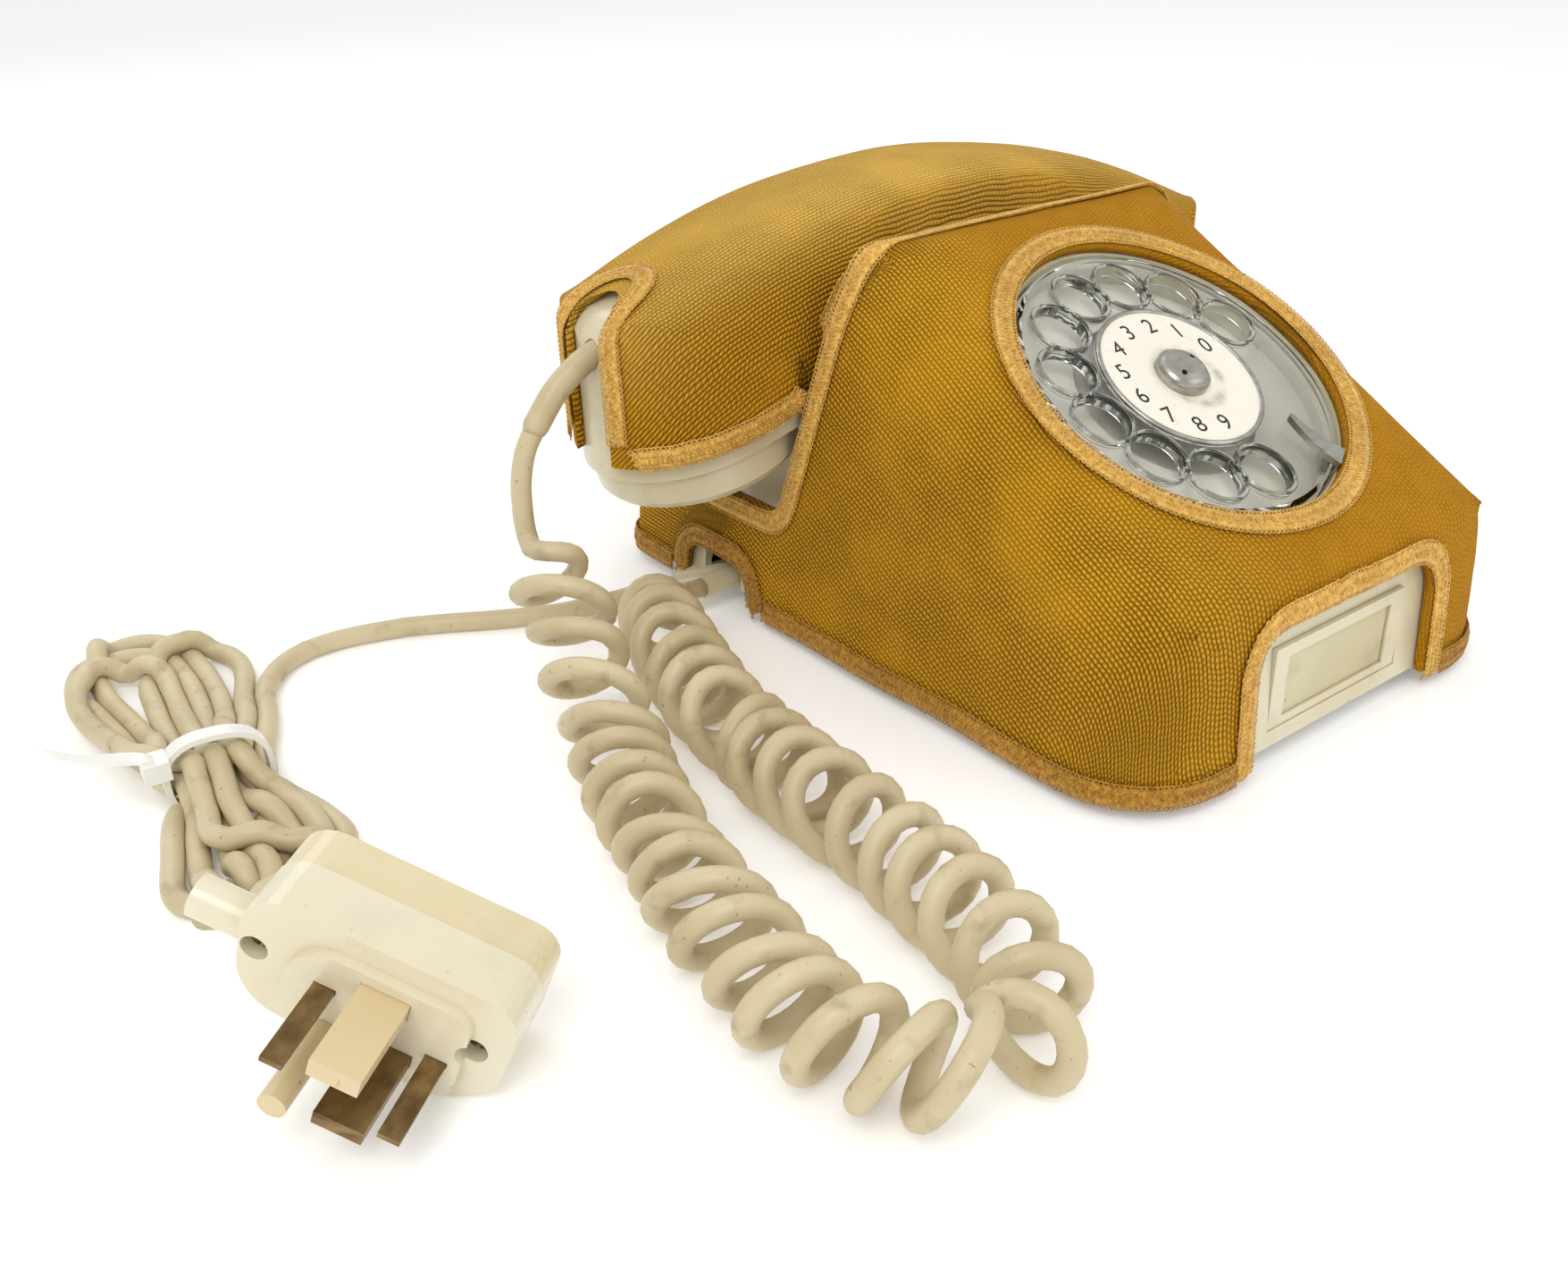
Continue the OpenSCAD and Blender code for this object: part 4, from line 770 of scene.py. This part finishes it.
def gimpTree(finishName):
    tree = bpy.data.node_groups.new("gimpStitches", "GeometryNodeTree")
    face = tree.interface
    face.new_socket("Geometry", in_out="INPUT", socket_type="NodeSocketGeometry")
    face.new_socket("Geometry", in_out="OUTPUT", socket_type="NodeSocketGeometry")
    keys = {}
    for label, value in (("Rope length", gimp["rope"][0]), ("Rope width", gimp["rope"][1]),
                         ("Picot radius", gimp["picot"]), ("Thread radius", gimp["thread"])):
        socket = face.new_socket(label, in_out="INPUT", socket_type="NodeSocketFloat")
        socket.default_value = value * mm
        keys[label] = socket.identifier
    w = Wire(tree)
    given = tree.nodes.new("NodeGroupInput")
    take = {o.name: Wire(tree, o) for o in given.outputs}
    named = {n: w.node("GeometryNodeInputNamedAttribute", {"data_type": "FLOAT_VECTOR"}, {"Name": n})
             for n in ("ahead", "up", "across")}
    turned = w.node("FunctionNodeAxesToRotation", {"primary_axis": "Z", "secondary_axis": "X"},
                    {0: named["up"], 1: named["ahead"]})
    joined = tree.nodes.new("GeometryNodeJoinGeometry")

    def row(shape, aside, lift, ahead, turn, size):
        moved = take["Geometry"]
        for name, far in (("across", aside), ("up", lift), ("ahead", ahead)):
            offset = w.node("ShaderNodeVectorMath", {"operation": "SCALE"}, {0: named[name], "Scale": far * mm})
            moved = w.node("GeometryNodeSetPosition", {}, {"Geometry": moved, "Offset": offset})
        spin = w.node("FunctionNodeRotateRotation", {"rotation_space": "LOCAL"},
                      {0: turned, 1: (0.0, 0.0, turn)})
        placed = w.node("GeometryNodeInstanceOnPoints", {}, {
            "Points": moved, "Instance": shape, "Rotation": spin, "Scale": size})
        tree.links.new(placed.socket, joined.inputs[0])

    ball = w.node("GeometryNodeMeshIcoSphere", {}, {"Radius": 0.5, "Subdivisions": 1})
    loop = w.node("GeometryNodeCurvePrimitiveCircle", {}, {"Resolution": 8, "Radius": take["Picot radius"]})
    thread = w.node("GeometryNodeCurvePrimitiveCircle", {}, {"Resolution": 4, "Radius": take["Thread radius"]})
    picot = w.node("GeometryNodeCurveToMesh", {}, {"Curve": loop, "Profile Curve": thread})
    ropeSize = w.node("ShaderNodeCombineXYZ", {}, {
        0: take["Rope length"], 1: take["Rope width"], 2: gimp["rope"][2] * mm})
    for place, turn in zip(gimp["ropeAt"], (1, -1)):
        row(ball, place, gimp["lift"], 0, gimp["slant"] * turn, ropeSize)
    barSize = w.node("ShaderNodeCombineXYZ", {}, {i: v * mm for i, v in enumerate(gimp["bar"])})
    row(ball, 0.1, gimp["lift"] + 0.05, 0.5, 0.15, barSize)
    row(picot, gimp["picotAt"], 0.1, 0, 0, (1, 1, 1))
    row(picot, gimp["lowerAt"], 0.0, 0.4, 0, tuple([gimp["lowerPicot"] / gimp["picot"]] * 3))
    real = w.node("GeometryNodeRealizeInstances", {}, {"Geometry": Wire(tree, joined.outputs[0])})
    smooth = w.node("GeometryNodeSetShadeSmooth", {}, {"Geometry": real})
    done = w.node("GeometryNodeSetMaterial", {}, {"Geometry": smooth, "Material": materials[finishName]})
    end = tree.nodes.new("NodeGroupOutput")
    tree.links.new(done.socket, end.inputs[0])
    return tree, keys


def evenBand(rows):
    line = np.array([r[0] for r in rows])
    line = line + sway(line)
    up = np.array([r[1] for r in rows])
    for _ in range(3):
        line[1:-1] = (line[:-2] + 2 * line[1:-1] + line[2:]) / 4
        up[1:-1] = (up[:-2] + 2 * up[1:-1] + up[2:]) / 4
    run = lengths(line)
    at = np.linspace(0, run[-1], int(run[-1] / (gimp["pitch"] * mm)) + 1)
    even = np.stack([np.interp(at, run, line[:, k]) for k in range(3)], axis=1)
    up = np.stack([np.interp(at, run, up[:, k]) for k in range(3)], axis=1)
    ahead = np.gradient(even, axis=0)
    ahead /= np.linalg.norm(ahead, axis=1)[:, None]
    up -= ahead * (up * ahead).sum(1)[:, None]
    up /= np.linalg.norm(up, axis=1)[:, None]
    return even, ahead, up, np.cross(up, ahead)


slot = {"half": 8.5, "aside": 2.9, "low": 60, "top": 96}


# The braid round the slot that lets the cord out of the handset's cover
def slotBand():
    wide, top = slot["half"] + slot["aside"], slot["top"]
    rows = []
    half = [(wide, slot["low"]), (wide, top - 7), (wide * 0.93, top - 3), (wide * 0.62, top)]
    route = [(-y, z) for y, z in half] + [(0, top + 1.2)] + half[::-1]
    mesh = nodes["handset_cover"].data
    tree = BVHTree.FromPolygons([v.co for v in mesh.vertices], [tuple(p.vertices) for p in mesh.polygons])
    for y, _, z in smoothLine([(y, 0, z) for y, z in route], 1.5):
        place, normal, _, _ = tree.ray_cast(Vector((-0.2, (52 + y) * mm, z * mm)), Vector((1, 0, 0)))
        if place is not None:
            rows.append((np.array(place + normal * 0.8 * mm), np.array(normal)))
    return rows


def makeBraid(name, node, body, bands, finishName):
    bm = bmesh.new()
    for rows in bands:
        even, ahead, up, across = evenBand(rows)
        mesh = bpy.data.meshes.new(name + "Points")
        mesh.from_pydata([tuple(p) for p in even], [], [])
        for label, values in (("ahead", ahead), ("up", up), ("across", across)):
            made = mesh.attributes.new(label, "FLOAT_VECTOR", "POINT")
            made.data.foreach_set("vector", values.astype(np.float32).ravel())
        holder = bpy.data.objects.new(name + "Points", mesh)
        bpy.context.scene.collection.objects.link(holder)
        tree, keys = gimpTree(finishName)
        stitches = holder.modifiers.new("gimp", "NODES")
        stitches.node_group = tree
        stitches[keys["Rope length"]] = gimp["rope"][0] * mm
        bpy.context.view_layer.update()
        done = holder.evaluated_get(bpy.context.evaluated_depsgraph_get())
        sewn = bpy.data.meshes.new_from_object(done)
        holder.modifiers.remove(stitches)
        bpy.data.objects.remove(holder)
        bm.from_mesh(sewn)
        wide, thick = (v * mm / 2 for v in gimp["strip"])
        ring = [(1, -0.6), (1, 0.5), (0.7, 1), (-0.7, 1), (-1, 0.5), (-1, -0.6)]
        sheath = np.stack([even + across * (a * wide) + up * (b * thick - 0.15 * mm) for a, b in ring], axis=1)
        old = [[bm.verts.new(p) for p in loop] for loop in sheath]
        for one, two in zip(old[:-1], old[1:]):
            for k in range(6):
                bm.faces.new((one[k], one[(k + 1) % 6], two[(k + 1) % 6], two[k])).smooth = True
        bm.faces.new(old[0][::-1])
        bm.faces.new(old[-1])
    bmesh.ops.recalc_face_normals(bm, faces=bm.faces)
    final = bpy.data.meshes.new(name)
    bm.to_mesh(final)
    bm.free()
    final.materials.append(materials[finishName])
    piece = bpy.data.objects.new(name, final)
    bpy.context.scene.collection.objects.link(piece)
    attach(piece, body)
    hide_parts(node)
    print(name, [len(b) for b in bands], len(final.polygons), "faces")


def roundDial(radius, lift):
    turn = np.linspace(0, 2 * math.pi, 220)
    out = (0, -math.sin(slope), math.cos(slope))
    return [(np.array(dialPoint(radius * math.cos(t), radius * math.sin(t), lift)), np.array(out))
            for t in turn]


# A place on the dial: across it, up its face, and out from it
def dialPoint(u, v, n):
    y = -45 + v * math.cos(slope) - n * math.sin(slope)
    z = 74 + v * math.sin(slope) + n * math.cos(slope)
    return u * mm, y * mm, z * mm


bodyMiddle = (0, 0, 40)
roundBody, heightsOfHem = np.radians(np.arange(-90, 270, 0.5)), np.arange(3.5, 8.8, 0.5)
overFront, radiiOfFront = np.radians(np.arange(179.5, 0, -0.5)), np.arange(18, 80, 0.5)
roundHandset, heightsOfHandset = np.radians(np.arange(-171, 171.5, 0.4)), np.arange(50, 100, 0.7)
makeBraid("hemBraidGimp", "hem_braid", "case",
          castBand("hem_braid", roundRay(0), roundBody, heightsOfHem), "hemBraid")
makeBraid("frontBraidGimp", "front_braid", "case",
          castBand("front_braid", frontRay, overFront, radiiOfFront), "goldBraid")
makeBraid("archBraidGimp", "arch_braid", "case",
          [followBand("arch_braid", (-69.6, 54, 18), (0, 1, 0), bodyMiddle)], "hemBraid")
makeBraid("cradleBraidGimp", "cradle_braid", "case",
          [followBand("cradle_braid", (0, 8, 105), (1, 0, 0), bodyMiddle)], "goldBraid")
makeBraid("handsetBraidGimp", "handset_braid", "handset",
          castBand("handset_braid", roundRay(52), roundHandset, heightsOfHandset) + [slotBand()], "goldBraid")
makeBraid("dialBraidGimp", "dial_braid", "case", [roundDial(47.15, 3.4)], "goldBraid")


# dial: rims of the finger holes and the digits

dial = {"holeRing": 31, "first": 21, "step": 27.8, "sides": 40, "digitRing": 16.2, "digitSize": 6.6,
        "digitLift": 1.42, "digitThick": 0.00002,
        "holeRim": [(6.95, -2.3), (7.25, -2.35), (8.1, -2.2), (8.2, 0.7), (7.9, 1.15), (7.45, 1.28),
                    (7.05, 1.15), (6.95, 0.8)],
        "discRim": [(20.9, 1.35), (21.1, 1.75), (21.6, 1.85), (22.1, 1.6), (22.2, 1.0), (21.0, 0.9)]}


def turnFacesOut(piece):
    bm = bmesh.new()
    bm.from_mesh(piece.data)
    bmesh.ops.recalc_face_normals(bm, faces=bm.faces)
    bm.to_mesh(piece.data)
    bm.free()


def makeRims():
    profile = dial["holeRim"]
    vertices, faces, sides = [], [], dial["sides"]
    for k in range(10):
        a = math.radians(dial["first"] + dial["step"] * k)
        cu, cv = dial["holeRing"] * math.cos(a), dial["holeRing"] * math.sin(a)
        start = len(vertices)
        for i in range(sides):
            t = 2 * math.pi * i / sides
            vertices += [dialPoint(cu + r * math.cos(t), cv + r * math.sin(t), n) for r, n in profile]
        m = len(profile)
        faces += [(start + i * m + j, start + ((i + 1) % sides) * m + j,
                   start + ((i + 1) % sides) * m + (j + 1) % m, start + i * m + (j + 1) % m)
                  for i in range(sides) for j in range(m)]
    piece = newPiece("fingerHoleRims", vertices, faces, "clearAcrylic", "dial")
    turnFacesOut(piece)


def makeDigits():
    turn = Matrix.Rotation(slope, 4, "X")
    bm = bmesh.new()
    for k in range(10):
        a = math.radians(dial["first"] + dial["step"] * k)
        text = bpy.data.curves.new("digit", "FONT")
        text.body = str(k)
        text.size = dial["digitSize"] * mm
        text.align_x = "CENTER"
        text.align_y = "CENTER"
        text.extrude = dial["digitThick"]
        holder = bpy.data.objects.new("digit", text)
        bpy.context.scene.collection.objects.link(holder)
        mesh = bpy.data.meshes.new_from_object(holder)
        bpy.data.objects.remove(holder)
        place = dialPoint(dial["digitRing"] * math.cos(a), dial["digitRing"] * math.sin(a), dial["digitLift"])
        mesh.transform(Matrix.Translation(place) @ turn)
        bm.from_mesh(mesh)
    mesh = bpy.data.meshes.new("dialDigits")
    bm.to_mesh(mesh)
    bm.free()
    mesh.materials.append(materials["blackInk"])
    for polygon in mesh.polygons:
        polygon.material_index = 0
    piece = bpy.data.objects.new("dialDigits", mesh)
    bpy.context.scene.collection.objects.link(piece)
    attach(piece, "dial")


def latheOnDial(name, profile, finishName, body, sides=96):
    vertices, m = [], len(profile)
    for i in range(sides):
        t = 2 * math.pi * i / sides
        vertices += [dialPoint(r * math.cos(t), r * math.sin(t), n) for r, n in profile]
    faces = [(i * m + j, ((i + 1) % sides) * m + j, ((i + 1) % sides) * m + (j + 1) % m, i * m + (j + 1) % m)
             for i in range(sides) for j in range(m)]
    piece = newPiece(name, vertices, faces, finishName, body)
    turnFacesOut(piece)


makeRims()
makeDigits()
latheOnDial("discRim", dial["discRim"], "satinMetal", "dial")
print("dial made")


# cable tie round the hank

tie = {"half": 10.5, "low": 0.5, "high": 18.6, "wide": 4.4, "thick": 1.3, "head": (6.6, 5.6, 4.6),
       "tail": [(11.0, 0, 14.5), (15, -2, 16.5), (24, -12, 14), (30, -24, 11), (33, -34, 9.5)],
       "block": ((0, 1, 2, 3), (7, 6, 5, 4), (0, 4, 5, 1), (1, 5, 6, 2), (2, 6, 7, 3), (3, 7, 4, 0))}


def makeTie():
    loop = []
    for a in np.linspace(0, 2 * math.pi, 48, endpoint=False):
        c, q = math.cos(a), math.sin(a)
        b = tie["half"] * math.copysign(abs(c) ** 0.75, c)
        z = (tie["low"] + tie["high"]) / 2 + (tie["high"] - tie["low"]) / 2 * math.copysign(abs(q) ** 0.75, q)
        loop.append((b, max(z, tie["low"])))
    vertices, faces, n = [], [], len(loop)
    for i, (b, z) in enumerate(loop):
        out = Vector((b, z - 9.5)).normalized() * tie["thick"]
        for along, lift in ((-1, 0), (1, 0), (1, 1), (-1, 1)):
            at = hankPoint(hank["tieAt"] + along * tie["wide"] / 2 + b * 0.12, b + out.x * lift,
                           max(z + out.y * lift, 0.3))
            vertices.append([v * mm for v in at])
    faces = [(i * 4 + j, i * 4 + (j + 1) % 4, ((i + 1) % n) * 4 + (j + 1) % 4, ((i + 1) % n) * 4 + j)
             for i in range(n) for j in range(4)]
    tail = smoothLine(tie["tail"], 1.0)
    start = len(vertices)
    for i, (b, a, z) in enumerate(tail):
        half = tie["wide"] / 2 * min(1, (len(tail) - i) / 9)
        for along, lift in ((-1, 0), (1, 0), (1, 1.1), (-1, 1.1)):
            at = hankPoint(hank["tieAt"] - a + along * half, b, z + lift)
            vertices.append([v * mm for v in at])
    faces += [(start + i * 4 + j, start + i * 4 + (j + 1) % 4,
               start + i * 4 + 4 + (j + 1) % 4, start + i * 4 + 4 + j)
              for i in range(len(tail) - 1) for j in range(4)]
    faces += [tuple(start + j for j in range(4)), tuple(start + (len(tail) - 1) * 4 + j for j in (3, 2, 1, 0))]
    long, wide, tall = (v / 2 for v in tie["head"])
    start = len(vertices)
    for b in (-wide, wide):
        for a, z in ((-long, -tall), (long, -tall), (long, tall), (-long, tall)):
            vertices.append([v * mm for v in hankPoint(hank["tieAt"] + a + 1, 12.6 + b, 14.4 + z)])
    faces += [tuple(start + k for k in f) for f in tie["block"]]
    piece = newPiece("cableTieNylon", vertices, faces, "clearNylon", "case", False)
    turnFacesOut(piece)
    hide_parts("cable_tie")


makeTie()
print("cable tie made")


# finishes of the nodes that stay

slotOf = {part["node"]: part.get("material_slot") for part in frame["record"]["subparts"]}
for nodeName in nodes:
    dress(nodeName, nodeFinish.get(nodeName, slotFinish[slotOf[nodeName]]))
print("nodes dressed:", len(nodes))
